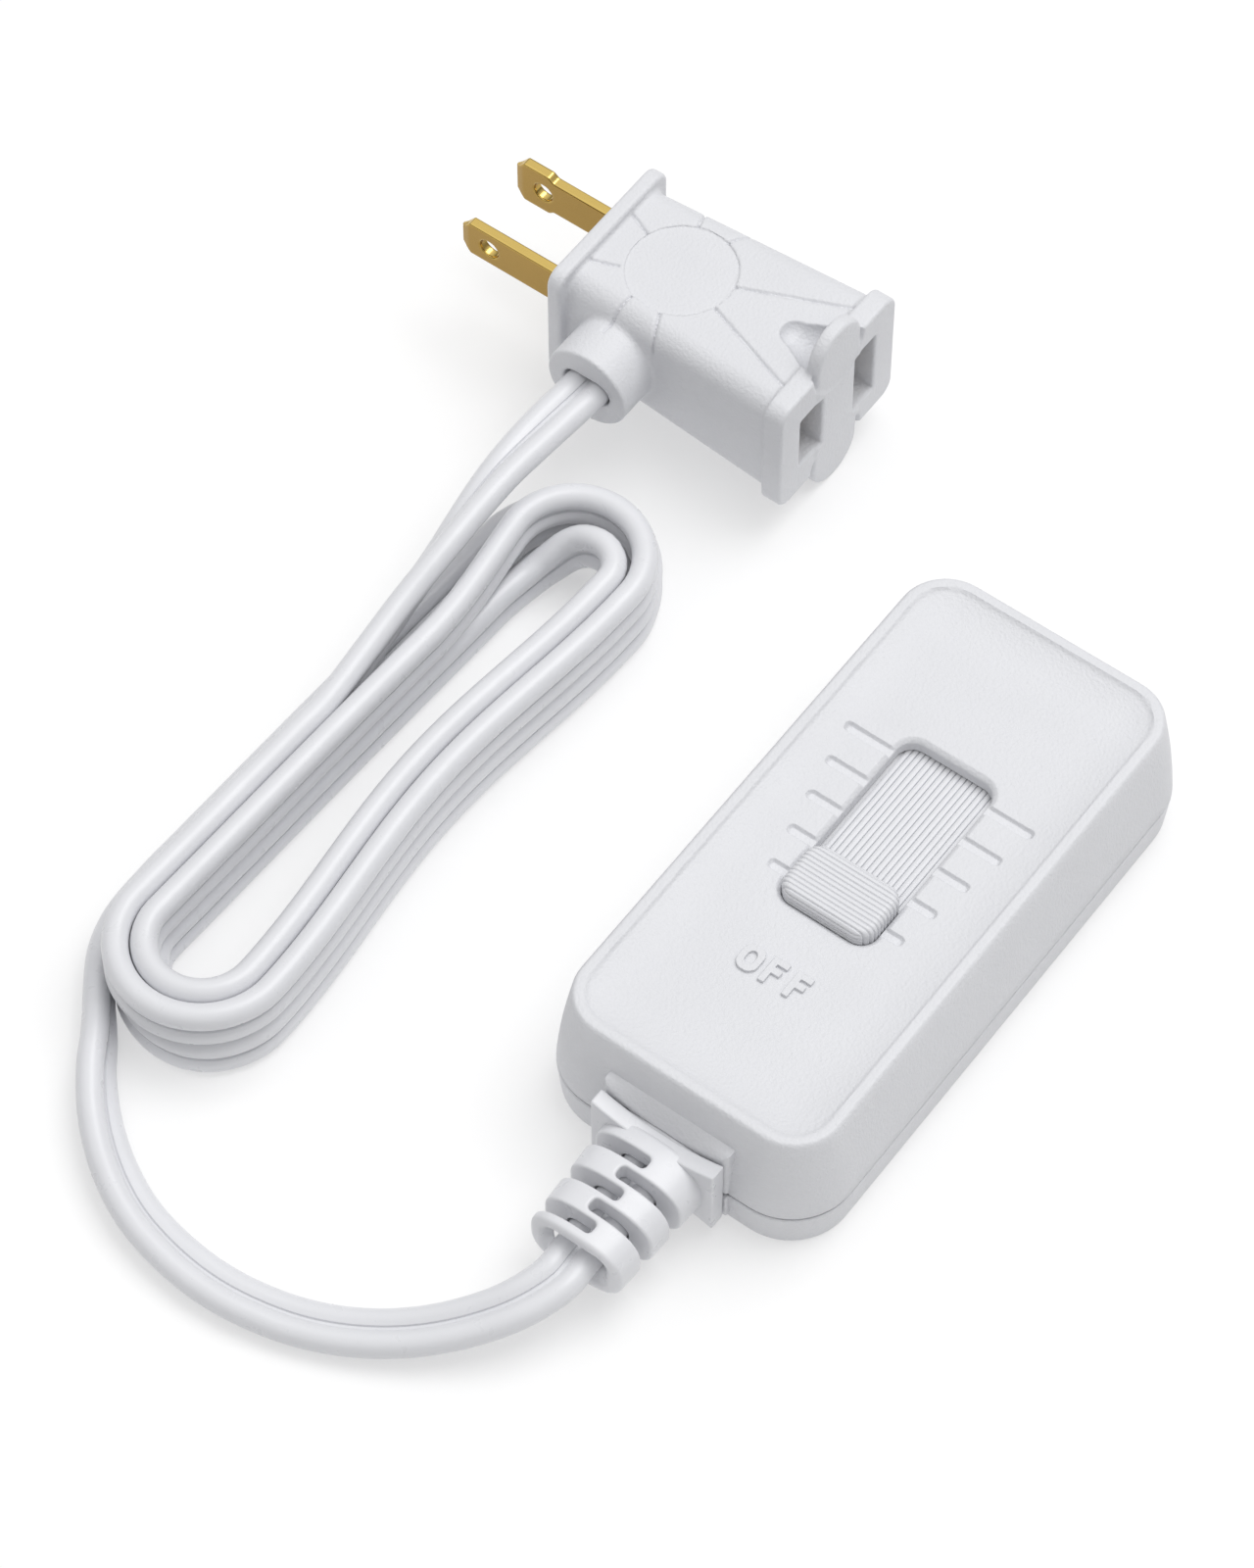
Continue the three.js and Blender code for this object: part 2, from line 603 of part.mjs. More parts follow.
// Where the cord leaves the top of the left arm, its column is gone from the winding's upper layer.
function hankStep() {
  const { x, start, end, height } = HANK.step;
  return block([x - 20, x], [start, end], [height, HANK.height + 1]);
}

function cordHank() {
  const winding = prism(hankLoop(0), 0, HANK.height);
  const inside = prism(hankLoop(HANK.band), -1, HANK.height + 1);
  return cut(joined(winding, hankEntry()), hankStep(), inside);
}

addPart('cord_end_in_dimmer', flatCord(RELIEF.barrel.end, -36.5, 0, RELIEF.z), WHITE_PVC);
addPart('cord_lead', sweep(LEAD_ROUTE, circle(CORD.thickness / 2, 0, 0, 8), 24), WHITE_PVC);
addPart('cord_hank', cordHank(), WHITE_PVC);
addPart('cord_tail', sweep(TAIL_ROUTE, circle(CORD.thickness / 2, 0, 0, 8), 8), WHITE_PVC);
addPart('cord_end_in_plug', flatCord(PLUG.gland.end, PLUG.y - 8.8, PLUG.gland.x, PLUG.z), WHITE_PVC);

[-1, 1].forEach((side, index) => {
  const route = [
    [side * WIRE.spacing, -36.2, RELIEF.z], [side * 2.6, -33.8, RELIEF.z + 0.7],
    [side * 5, -31, RELIEF.z + 0.7], [side * WIRE.padX, WIRE.padY - 0.9, RELIEF.z - 0.6],
    [side * WIRE.padX, WIRE.padY, boardTop + GAP],
  ];
  addPart(`dimmer_wire_${index + 1}`, sweep(route, circle(WIRE.radius, 0, 0, 8), 12), COPPER);
});

// ---------------------------------------------------------------- plug
const plugBack = PLUG.x - PLUG.length;
const bodyStart = plugBack + PLUG.flange.thickness;
const bodyEnd = PLUG.x - PLUG.plate.thickness;
const hotY = PLUG.y - PLUG.pitch / 2;
const neutralY = PLUG.y + PLUG.pitch / 2;

function plugOutline(width, height, radius, steps = 4) {
  return roundedRectangle(width, height, radius, PLUG.y, PLUG.z, steps);
}

function plugBody() {
  const { flange, plate, lobe, body, gland, mouth } = PLUG;
  const shell = joined(
    prism(plugOutline(flange.width, flange.height, flange.radius), plugBack, bodyStart, ALONG_X),
    stack([
      [bodyStart - 0.5, plugOutline(body.startWidth, body.startHeight, body.radius)],
      [bodyEnd + 0.5, plugOutline(body.endWidth, body.endHeight, body.radius)],
    ], ALONG_X),
    prism(plugOutline(plate.width, plate.height, plate.radius), bodyEnd, PLUG.x, ALONG_X),
    prism(
      plugOutline(lobe.width, lobe.height, lobe.width / 2 - 0.01, 8),
      PLUG.x - lobe.thickness, PLUG.x, ALONG_X),
    prism(circle(gland.radius, gland.x, PLUG.z, 28), -(PLUG.y - 6), -gland.end, ALONG_MINUS_Y));
  const mouths = [[hotY, mouth.hotHeight], [neutralY, mouth.neutralHeight]].map(([y, height]) => block(
    [PLUG.x - mouth.depth, PLUG.x + 1], [y - mouth.width / 2, y + mouth.width / 2],
    [PLUG.z - height / 2, PLUG.z + height / 2]));
  const core = block(
    [-84.5, PLUG.x - mouth.depth + 0.5], [PLUG.y - 9, PLUG.y + 9], [PLUG.z - 6.2, PLUG.z + 6.2]);
  const cordOutline = roundedRectangle(
    CORD.width + 2 * CORD.boreClear, CORD.thickness + 2 * CORD.boreClear,
    CORD.thickness / 2 + CORD.boreClear - 0.01, gland.x, PLUG.z, 4);
  const cordBore = prism(cordOutline, -(PLUG.y - 8), -gland.end + 1, ALONG_MINUS_Y);
  const bladeSlots = [hotY, neutralY].map((y) => block(
    [plugBack - 1, -84], [y - BLADE.thickness / 2 - GAP, y + BLADE.thickness / 2 + GAP],
    [PLUG.z - BLADE.height / 2 - GAP, PLUG.z + BLADE.height / 2 + GAP]));
  return cut(shell, ...mouths, core, cordBore, ...bladeSlots, ...thumbScoops(), discRecess());
}

// A hollow behind the lobe on the upper and lower face, tapering away from the plate.
function thumbScoops() {
  return [-1, 1].map((side) => {
    const depth = side * (PLUG.body.endHeight / 2 + 1.2);
    const wide = circle(4.4, PLUG.y, PLUG.z + depth, 16);
    const narrow = circle(0.8, PLUG.y, PLUG.z + depth + side * 1.2, 16);
    return stack([[bodyEnd - 6.5, narrow], [PLUG.x - PLUG.lobe.thickness, wide]], ALONG_X);
  });
}

// The shallow round hollow on the upper face.
function discRecess() {
  const { disc } = PLUG;
  return prism(circle(disc.radius, disc.x, PLUG.y, 36), PLUG.z + disc.floor, PLUG.z + disc.floor + 5);
}

function bladeShape(y, wide) {
  const half = BLADE.height / 2;
  const tipHalf = wide ? BLADE.wide / 2 : half;
  const shoulder = BLADE.tip + BLADE.wideLength;
  const outline = [
    [BLADE.root, -half], [BLADE.root, half], [shoulder + 1.2, half], [shoulder, tipHalf],
    [BLADE.tip + 1.4, tipHalf], [BLADE.tip, tipHalf - 1.6], [BLADE.tip, -tipHalf + 1.6],
    [BLADE.tip + 1.4, -tipHalf], [shoulder, -tipHalf], [shoulder + 1.2, -half],
  ].map(([x, z]) => new THREE.Vector2(x, PLUG.z + z));
  const body = prism(outline, -(y + BLADE.thickness / 2), -(y - BLADE.thickness / 2), ALONG_MINUS_Y);
  const hole = prism(circle(BLADE.hole, BLADE.holeX, PLUG.z, 16), -y - 3, -y + 3, ALONG_MINUS_Y);
  return cut(body, hole);
}

// A receptacle contact: two springy leaves joined at the back.
function contact(y, height) {
  const back = PLUG.x - PLUG.mouth.depth + 1;
  const leaf = (offset) => block(
    [back, back + 9.5], [y + offset - 0.35, y + offset + 0.35], [PLUG.z - height / 2, PLUG.z + height / 2]);
  const web = block([back, back + 0.8], [y - 1.9, y + 1.9], [PLUG.z - height / 2, PLUG.z + height / 2]);
  return joined(leaf(-1.55), leaf(1.55), web);
}

function contactCarrier() {
  const end = PLUG.x - PLUG.mouth.depth;
  const body = block([end - 6, end], [PLUG.y - 8.6, PLUG.y + 8.6], [PLUG.z - 5.8, PLUG.z + 5.8]);
  const slots = [hotY, neutralY].map((y) => block(
    [end - 4.2, end + 1], [y - 1.2, y + 1.2], [PLUG.z - 3.2, PLUG.z + 3.2]));
  return cut(body, ...slots);
}

// A crimp barrel round the end of one of the cord's two conductors.
function crimp(x, from, length) {
  return cut(
    prism(circle(1.6, x, PLUG.z, 12), -from, -from - length, ALONG_MINUS_Y),
    prism(circle(1.1, x, PLUG.z, 12), -from + 1, -from - length - 1, ALONG_MINUS_Y));
}

function conductor(x, from, to) {
  return prism(circle(WIRE.radius, x, PLUG.z, 8), -from, -to, ALONG_MINUS_Y);
}

// A bar from a blade's root to the receptacle contact behind it, low enough for the wires to pass over.
function link(y) {
  return block(
    [BLADE.root + GAP, PLUG.x - PLUG.mouth.depth - 6.3], [y - 0.5, y + 0.5],
    [PLUG.z - 5.2, PLUG.z - 2]);
}

addPart('plug_body', plugBody(), WHITE_PLASTIC);
addPart('blade_narrow', bladeShape(hotY, false), BRASS);
addPart('blade_wide', bladeShape(neutralY, true), BRASS);
addPart('contact_hot', contact(hotY, 6.4), BRASS);
addPart('contact_neutral', contact(neutralY, 6.4), BRASS);
addPart('contact_carrier', contactCarrier(), CREAM_PLASTIC);
const feedX = PLUG.gland.x + WIRE.spacing;
const returnX = PLUG.gland.x - WIRE.spacing;
const wireStart = PLUG.y - 8.5;
addPart('link_hot', link(hotY), BRASS);
addPart('link_neutral', link(neutralY), BRASS);
addPart('wire_feed', conductor(feedX, wireStart, wireStart + 2.4), COPPER);
addPart('wire_return', conductor(returnX, wireStart, neutralY - 1), COPPER);
addPart('crimp_feed', crimp(feedX, wireStart + 0.6, 3.4), BRASS);
addPart('crimp_return', crimp(returnX, neutralY - 2.4, 3.4), BRASS);

export default group;
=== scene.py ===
import json
import math

import bpy
import numpy as np
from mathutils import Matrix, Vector

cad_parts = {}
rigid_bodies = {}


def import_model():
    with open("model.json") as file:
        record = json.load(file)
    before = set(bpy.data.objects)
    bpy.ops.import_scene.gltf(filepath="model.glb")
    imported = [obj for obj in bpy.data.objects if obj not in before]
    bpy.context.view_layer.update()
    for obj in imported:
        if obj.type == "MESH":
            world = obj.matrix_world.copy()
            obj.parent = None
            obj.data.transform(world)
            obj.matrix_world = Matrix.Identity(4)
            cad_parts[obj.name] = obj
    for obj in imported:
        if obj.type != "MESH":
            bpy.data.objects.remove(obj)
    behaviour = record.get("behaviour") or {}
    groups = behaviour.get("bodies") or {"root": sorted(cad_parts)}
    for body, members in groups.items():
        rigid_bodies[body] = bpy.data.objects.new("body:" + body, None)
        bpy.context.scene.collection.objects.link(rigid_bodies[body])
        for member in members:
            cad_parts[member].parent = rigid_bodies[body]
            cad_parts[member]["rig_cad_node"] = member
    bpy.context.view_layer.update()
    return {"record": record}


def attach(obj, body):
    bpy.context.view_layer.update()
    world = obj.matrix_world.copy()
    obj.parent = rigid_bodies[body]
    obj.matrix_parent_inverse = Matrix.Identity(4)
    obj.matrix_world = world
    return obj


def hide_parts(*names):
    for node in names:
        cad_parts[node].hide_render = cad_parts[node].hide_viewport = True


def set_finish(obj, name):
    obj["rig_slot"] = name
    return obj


# A plug-in lamp dimmer cord: a pass-through plug, a flat two-core cord in a hank, and a box with a
# slide control. Blender's units are metres; shapes are worked out in millimetres and scaled by MM.
MM = 0.001

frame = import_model()


# ---------------------------------------------------------------- camera
CAMERA = {
    "lens": 134.35, "sensor": 36, "place": (0.218065, -0.349427, 0.664895), "tilt": 33.25, "turn": 36.433,
}


def make_camera():
    """The photo's camera: a long lens that looks steeply down from the near end's right."""
    data = bpy.data.cameras.new("camera")
    data.lens = CAMERA["lens"]
    data.sensor_width = CAMERA["sensor"]
    camera = bpy.data.objects.new("camera", data)
    camera.location = CAMERA["place"]
    camera.rotation_euler = (math.radians(CAMERA["tilt"]), 0, math.radians(CAMERA["turn"]))
    bpy.context.scene.collection.objects.link(camera)
    bpy.context.scene.camera = camera


make_camera()


# ---------------------------------------------------------------- mesh tools
def smoothstep(value):
    share = np.clip(value, 0, 1)
    return share * share * (3 - 2 * share)


def between(first, second, share):
    """Each number of first, moved that share of the way to second's."""
    return [a + (b - a) * share for a, b in zip(first, second)]


def link_mesh(name, points, faces):
    """A new object with a mesh of these points, in millimetres, and faces."""
    mesh = bpy.data.meshes.new(name)
    mesh.from_pydata((np.asarray(points) * MM).tolist(), [], faces)
    piece = bpy.data.objects.new(name, mesh)
    bpy.context.scene.collection.objects.link(piece)
    return piece


def shade_smooth(mesh, crease):
    """Smooth shading, apart from edges sharper than crease degrees."""
    mesh.polygons.foreach_set("use_smooth", [True] * len(mesh.polygons))
    mesh.set_sharp_from_angle(angle=math.radians(crease))


def make_piece(name, points, faces, slot, body="root", crease=35):
    """A smooth piece that takes its finish from a material slot and moves with a body."""
    piece = link_mesh(name, points, faces)
    shade_smooth(piece.data, crease)
    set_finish(piece, slot)
    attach(piece, body)
    return piece


def grid_faces(rows, columns, wrap_rows=False):
    """Quads between rows of points, each row a closed ring of so many columns."""
    faces = []
    for row in range(rows if wrap_rows else rows - 1):
        for column in range(columns):
            a = row * columns + column
            b = row * columns + (column + 1) % columns
            c = (row + 1) % rows * columns + (column + 1) % columns
            d = (row + 1) % rows * columns + column
            faces.append((a, b, c, d))
    return faces


def tube_faces(rows, columns):
    """The quads between the rows and one face over each end."""
    last = (rows - 1) * columns
    ends = [tuple(range(columns))[::-1], tuple(range(last, last + columns))]
    return grid_faces(rows, columns) + ends


def surface_net(distance, low, high, step):
    """Points and quads of the surface where distance(x, y, z) is zero, found on a regular grid."""
    axes = [np.arange(a, b + step, step) for a, b in zip(low, high)]
    field = distance(*np.meshgrid(*axes, indexing="ij"))
    cells = tuple(size - 1 for size in field.shape)
    total = np.zeros(cells + (3,))
    count = np.zeros(cells)
    for axis in range(3):
        first, second = [other for other in range(3) if other != axis]
        for u in (0, 1):
            for v in (0, 1):
                start = [0, 0, 0]
                start[first], start[second] = u, v
                end = list(start)
                end[axis] = 1
                a, b = [field[tuple(slice(s, s + n) for s, n in zip(corner, cells))]
                        for corner in (start, end)]
                crossed = (a < 0) != (b < 0)
                share = np.where(crossed, a / np.where(crossed, a - b, 1), 0)
                count += crossed
                for k in range(3):
                    total[..., k] += crossed * (share if k == axis else start[k])
    used = count > 0
    number = np.full(cells, -1)
    number[used] = np.arange(used.sum())
    points = (np.argwhere(used) + total[used] / count[used][:, None]) * step + np.array(low)
    faces = [net_faces(field, number, axis) for axis in range(3)]
    return onto_surface(distance, points, step), np.concatenate(faces).tolist()


def net_faces(field, number, axis):
    """The quads round the grid edges along one axis that cross the surface."""
    u, v = (axis + 1) % 3, (axis + 2) % 3
    window = [slice(1, -1)] * 3
    window[axis] = slice(0, -1)
    before = field[tuple(window)] < 0
    window[axis] = slice(1, None)
    after = field[tuple(window)] < 0
    crossed = before != after
    at = np.argwhere(crossed)
    at[:, [u, v]] += 1
    corners = []
    for back_u, back_v in ((1, 1), (0, 1), (0, 0), (1, 0)):
        cell = at.copy()
        cell[:, u] -= back_u
        cell[:, v] -= back_v
        corners.append(number[tuple(cell.T)])
    quads = np.stack(corners, axis=1)
    return np.where(before[crossed][:, None], quads, quads[:, ::-1])


def onto_surface(distance, points, step, passes=2, flattest=0.2):
    """Moves each point along the field's slope until it lies on the surface."""
    near = step * 0.2
    furthest = step * 0.4
    for _ in range(passes):
        value = distance(*points.T)
        slope = np.stack([
            (distance(*(points + shift).T) - distance(*(points - shift).T)) / (2 * near)
            for shift in np.eye(3) * near], axis=1)
        steepness = np.maximum((slope ** 2).sum(1), flattest)
        move = -value[:, None] * slope / steepness[:, None]
        points = points + np.clip(move, -furthest, furthest)
    return points


# Distance fields, in millimetres: negative inside.
def rectangle_distance(u, v, half_u, half_v, radius):
    a = np.abs(u) - (half_u - radius)
    b = np.abs(v) - (half_v - radius)
    return np.hypot(np.maximum(a, 0), np.maximum(b, 0)) + np.minimum(np.maximum(a, b), 0) - radius


def extruded(flat, along, start, end, edge):
    """A flat outline's field carried from start to end, with its end edges rounded."""
    a = flat + edge
    b = np.abs(along - (start + end) / 2) - (end - start) / 2 + edge
    return np.hypot(np.maximum(a, 0), np.maximum(b, 0)) + np.minimum(np.maximum(a, b), 0) - edge


def joined(a, b, fillet=0.0):
    """Both shapes as one, with the corner between them filled in."""
    if not fillet:
        return np.minimum(a, b)
    return np.minimum(a, b) - np.maximum(fillet - np.abs(a - b), 0) ** 2 / (4 * fillet)


def cut(a, b, fillet=0.0):
    """The first shape without the second, with the new edge eased."""
    return -joined(-a, b, fillet)


def segment_distance(x, y, start, end):
    """Distance in plan from a straight line between two points."""
    run = np.subtract(end, start)
    offset_x, offset_y = x - start[0], y - start[1]
    share = np.clip((offset_x * run[0] + offset_y * run[1]) / (run @ run), 0, 1)
    return np.hypot(offset_x - share * run[0], offset_y - share * run[1])


# ---------------------------------------------------------------- cord
CORD = {
    "width": 7.1, "thickness": 3.7, "groove_half": 0.36, "groove_floor": 0.95, "groove_taper": 0.05,
    "lobe_points": 16, "guides_inside_box": (-42, -50, -58),
}
RELIEF_HEIGHT = 0.00895
# The cord's centre where it isn't wound, in metres: out of the strain relief, round the floor and
# in beside the hank; then how far its width leans over from upright at each point, in degrees.
LEAD_ROUTE = [
    (0, -0.06575, 0.00895), (0, -0.069, 0.0088), (-0.0021, -0.0742, 0.0076),
    (-0.0062, -0.0792, 0.0056), (-0.0114, -0.0838, 0.0039), (-0.0173, -0.0876, 0.0028),
    (-0.0238, -0.0905, 0.0022), (-0.0308, -0.0924, 0.00225), (-0.0377, -0.0931, 0.00235),
    (-0.0449, -0.0925, 0.0025), (-0.0516, -0.0908, 0.0027), (-0.058, -0.0876, 0.003),
    (-0.0638, -0.0832, 0.0032), (-0.0686, -0.0781, 0.0034), (-0.0719, -0.0734, 0.0035),
]
LEAD_LEAN = [90, 90, 88, 86, 84, 82, 80, 77, 74, 68, 60, 50, 38, 25, 16]
ENTRY_ROUTE = [(-0.0762, -0.0682, 0.0036), (-0.0791, -0.064, 0.0036), (-0.0808, -0.0588, 0.0036)]
ENTRY_LEAN = [5, 0, 0]
# From the top of the hank's left arm straight on to the plug's gland, turning flat on the way.
TAIL_ROUTE = [
    (-0.0774, -0.008, 0.0113), (-0.0780, 0.0, 0.0124), (-0.0782, 0.0095, 0.0143),
    (-0.0786, 0.016, 0.0152), (-0.0789, 0.024, 0.016), (-0.0786, 0.033, 0.0163),
    (-0.078, 0.04175, 0.0164), (-0.078, 0.046, 0.0164), (-0.078, 0.0505, 0.0164),
]
TAIL_LEAN = [-8, -16, -28, -42, -62, -84, -90, -90, -90]
# The hank, in millimetres. Each end is the x, y and radius of the arc that its outer face follows.
# The cord stands on edge in two levels, and its inset from that face is outside, outer or inner.
HANK = {
    "near": (-66, -58, 13.5), "far": (-64.4, 20, 12.2), "waist": 1.35, "bow": 1.5,
    "lower": 3.6, "upper": 10.75, "outside": -1.95, "outer": 1.85, "inner": 5.65,
    "tuck": 1.0, "swing": 1.9, "arm": 78, "arc": 21,
}
# When the cord changes place, in quarter-laps: each arm is one and each end is one.
HANK_WHEN = {
    "begin": 0.1, "finish": 16.52, "to_outer": (1.35, 1.9), "to_inner": (5.4, 5.95),
    "swing_in": (8.93, 9.2), "rise": (8.95, 9.75), "swing_back": (9.5, 10.0),
    "to_outer_again": (12.72, 13.5), "lower_level_ends": 9, "tuck_in": (3.25, 3.65),
    "tuck_out": (3.8, 4.05), "step_on_arm": 0.06, "step_on_end": 0.035,
}


def hank_point(turn, inset):
    """A point round the hank, inset from its outer face: turn 0 to 1 is the right arm, 1 to 2 the far
    end, 2 to 3 the left arm and 3 to 4 the near end."""
    near, far = HANK["near"], HANK["far"]
    stretch = min(int(turn), 3)
    share = turn - stretch
    if stretch in (0, 2):
        side = 1 if stretch == 0 else -1
        along = share if stretch == 0 else 1 - share
        swell = math.sin(math.pi * along) ** 2
        half = near[2] + (far[2] - near[2]) * along - HANK["waist"] * swell
        middle = near[0] + (far[0] - near[0]) * along - HANK["bow"] * swell
        return middle + side * (half - inset), near[1] + (far[1] - near[1]) * along
    end = far if stretch == 1 else near
    angle = (share + (stretch == 3)) * math.pi
    radius = end[2] - inset
    return end[0] + radius * math.cos(angle), end[1] + radius * math.sin(angle)


def travelled(progress):
    """About how far the cord has run, in millimetres, after so many quarter-laps of the hank."""
    half_laps, rest = divmod(progress, 2)
    arm, arc = HANK["arm"], HANK["arc"]
    return half_laps * (arm + arc) + min(rest, 1) * arm + max(rest - 1, 0) * arc


def ramp(value, start, end):
    """0 before start, 1 after end, and eased between them."""
    return float(smoothstep((value - start) / (end - start)))


def hank_place(progress):
    """The cord's inset and height after so many quarter-laps, starting up the left arm."""
    def moved(name):
        return ramp(travelled(progress), *[travelled(when) for when in HANK_WHEN[name]])
    outside, outer, inner = HANK["outside"], HANK["outer"], HANK["inner"]
    inset = outside + (outer - outside) * moved("to_outer")
    inset += (inner - outer) * (moved("to_inner") - moved("to_outer_again"))
    inset += HANK["swing"] * (moved("swing_in") - moved("swing_back"))
    height = HANK["lower"] + (HANK["upper"] - HANK["lower"]) * moved("rise")
    if progress < HANK_WHEN["lower_level_ends"]:
        fold = progress % 4
        inset += HANK["tuck"] * ramp(fold, *HANK_WHEN["tuck_in"]) * (1 - ramp(fold, *HANK_WHEN["tuck_out"]))
    return inset, height


def guide_points(route, leans):
    return [(tuple(c / MM for c in point), lean) for point, lean in zip(route, leans)]


def cord_stations():
    """Every guide point of the cord in millimetres, with the lean of its width there."""
    stations = [((0, y, RELIEF_HEIGHT / MM), 90) for y in CORD["guides_inside_box"]]
    stations += guide_points(LEAD_ROUTE, LEAD_LEAN) + guide_points(ENTRY_ROUTE, ENTRY_LEAN)
    progress = HANK_WHEN["begin"]
    while progress < HANK_WHEN["finish"]:
        inset, height = hank_place(progress)
        stations.append((hank_point((3 - progress) % 4, inset) + (height,), 0))
        progress += HANK_WHEN["step_on_end" if int(progress) % 2 else "step_on_arm"]
    return stations + guide_points(TAIL_ROUTE, TAIL_LEAN)


def smooth_route(stations, step=1.0, per_span=12):
    """A Catmull-Rom curve through the guide points, sampled at even steps."""
    guide = np.array([(*point, lean) for point, lean in stations])
    padded = np.vstack([2 * guide[0] - guide[1], guide, 2 * guide[-1] - guide[-2]])
    spans = np.linalg.norm(np.diff(padded[:, :3], axis=0), axis=1)
    knots = np.concatenate([[0], np.cumsum(spans ** 0.5)])
    fine = []
    for i in range(1, len(padded) - 2):
        t0, t1, t2, t3 = knots[i - 1:i + 3]
        p0, p1, p2, p3 = padded[i - 1:i + 3]
        for t in np.linspace(t1, t2, per_span, endpoint=False):
            a1 = (t1 - t) / (t1 - t0) * p0 + (t - t0) / (t1 - t0) * p1
            a2 = (t2 - t) / (t2 - t1) * p1 + (t - t1) / (t2 - t1) * p2
            a3 = (t3 - t) / (t3 - t2) * p2 + (t - t2) / (t3 - t2) * p3
            b1 = (t2 - t) / (t2 - t0) * a1 + (t - t0) / (t2 - t0) * a2
            b2 = (t3 - t) / (t3 - t1) * a2 + (t - t1) / (t3 - t1) * a3
            fine.append((t2 - t) / (t2 - t1) * b1 + (t - t1) / (t2 - t1) * b2)
    fine = np.array(fine + [guide[-1]])
    gone = np.concatenate([[0], np.cumsum(np.linalg.norm(np.diff(fine[:, :3], axis=0), axis=1))])
    even = np.linspace(0, gone[-1], int(gone[-1] / step) + 1)
    return np.stack([np.interp(even, gone, fine[:, k]) for k in range(4)], axis=1)


def cord_section():
    """Two round cores side by side with a narrow flat-bottomed groove between them."""
    radius = CORD["thickness"] / 2
    centre = CORD["width"] / 2 - radius
    reach = math.acos((CORD["groove_half"] - centre) / radius)
    angles = np.linspace(-reach, reach, CORD["lobe_points"])
    lobe = np.stack([centre + radius * np.cos(angles), radius * np.sin(angles)], axis=1)
    corner = np.array((CORD["groove_half"] - CORD["groove_taper"], CORD["groove_floor"]))
    return np.vstack([lobe, corner, corner * (-1, 1), -lobe, -corner, corner * (1, -1)])


def make_cord():
    """The whole cord, swept along its route, and its centreline in metres."""
    route = smooth_route(cord_stations())
    centres, lean = route[:, :3], np.radians(route[:, 3])
    along = np.gradient(centres, axis=0)
    along /= np.linalg.norm(along, axis=1)[:, None]
    outward = np.cross((0, 0, 1), along)
    outward /= np.linalg.norm(outward, axis=1)[:, None]
    across = np.cos(lean)[:, None] * np.array((0, 0, 1)) + np.sin(lean)[:, None] * outward
    across -= (across * along).sum(1)[:, None] * along
    across /= np.linalg.norm(across, axis=1)[:, None]
    through = np.cross(along, across)
    section = cord_section()
    rings = (centres[:, None] + section[None, :, :1] * across[:, None]
             + section[None, :, 1:] * through[:, None])
    count = len(section)
    points = np.vstack([rings.reshape(-1, 3), centres[0], centres[-1]])
    faces = grid_faces(len(centres), count)
    last = (len(centres) - 1) * count
    ends = [(i, (i + 1) % count, len(points) - 2) for i in range(count)]
    ends += [(last + (i + 1) % count, last + i, len(points) - 1) for i in range(count)]
    cord = make_piece("cord", points, [face[::-1] for face in faces + ends], "cord", crease=28)
    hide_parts("cord_end_in_dimmer", "cord_lead", "cord_hank", "cord_tail", "cord_end_in_plug")
    return cord, centres * MM


cord, cord_path = make_cord()


# ---------------------------------------------------------------- strain relief
RELIEF = {
    "height": RELIEF_HEIGHT / MM, "bore": (3.85, 2.15, 2.1), "bell_run": 2.6, "bell": 1.5,
    "plate": (-48.8, -46.3), "plate_half": (9.7, 6.45), "plate_arc": 1.7, "plate_edge": 0.25,
    "neck": (-47, -40), "neck_shape": (5.9, 4.5, 0.5), "neck_edge": 0.2,
    "barrel": (-65.4, -48.3), "start_half": (8.1, 5.3), "end_half": (7.2, 5.3), "barrel_edge": 0.7,
    "squareness": 2.7, "slope": 0.95, "into_plate": 1,
    "slot_first": -51.2, "slot_pitch": 2.92, "slot_half": 1.0, "slot_count": 5, "slot_past": 1.3,
    "slot_reach": 12.0, "slot_corner": 0.7, "slot_edge": 0.35, "bore_edge": 0.3,
}


def relief_barrel_field(x, y, z):
    """The tapering barrel, slotted from alternate sides, with a bell mouth for the cord."""
    start, end = RELIEF["barrel"]
    share = np.clip((end - y) / (end - start), 0, 1)
    half_x, half_z = between(RELIEF["start_half"], RELIEF["end_half"], share)
    height = z - RELIEF["height"]
    power = RELIEF["squareness"]
    level = (np.abs(x / half_x) ** power + np.abs(height / half_z) ** power) ** (1 / power)
    barrel = extruded(
        (level - 1) * half_z * RELIEF["slope"], y, start, end + RELIEF["into_plate"], RELIEF["barrel_edge"])
    reach, past = RELIEF["slot_reach"], RELIEF["slot_past"]
    for index in range(RELIEF["slot_count"]):
        side = -1 if index % 2 == 0 else 1
        middle = RELIEF["slot_first"] - index * RELIEF["slot_pitch"]
        slot = rectangle_distance(side * x - (reach - past) / 2, y - middle, (reach + past) / 2,
                                  RELIEF["slot_half"], RELIEF["slot_corner"])
        barrel = cut(barrel, slot, RELIEF["slot_edge"])
    bell = np.clip((start + RELIEF["bell_run"] - y) / RELIEF["bell_run"], 0, 1) ** 2 * RELIEF["bell"]
    half_width, half_thickness, radius = RELIEF["bore"]
    bore = rectangle_distance(x, height, half_width + bell, half_thickness + bell, radius)
    return cut(barrel, bore, RELIEF["bore_edge"])


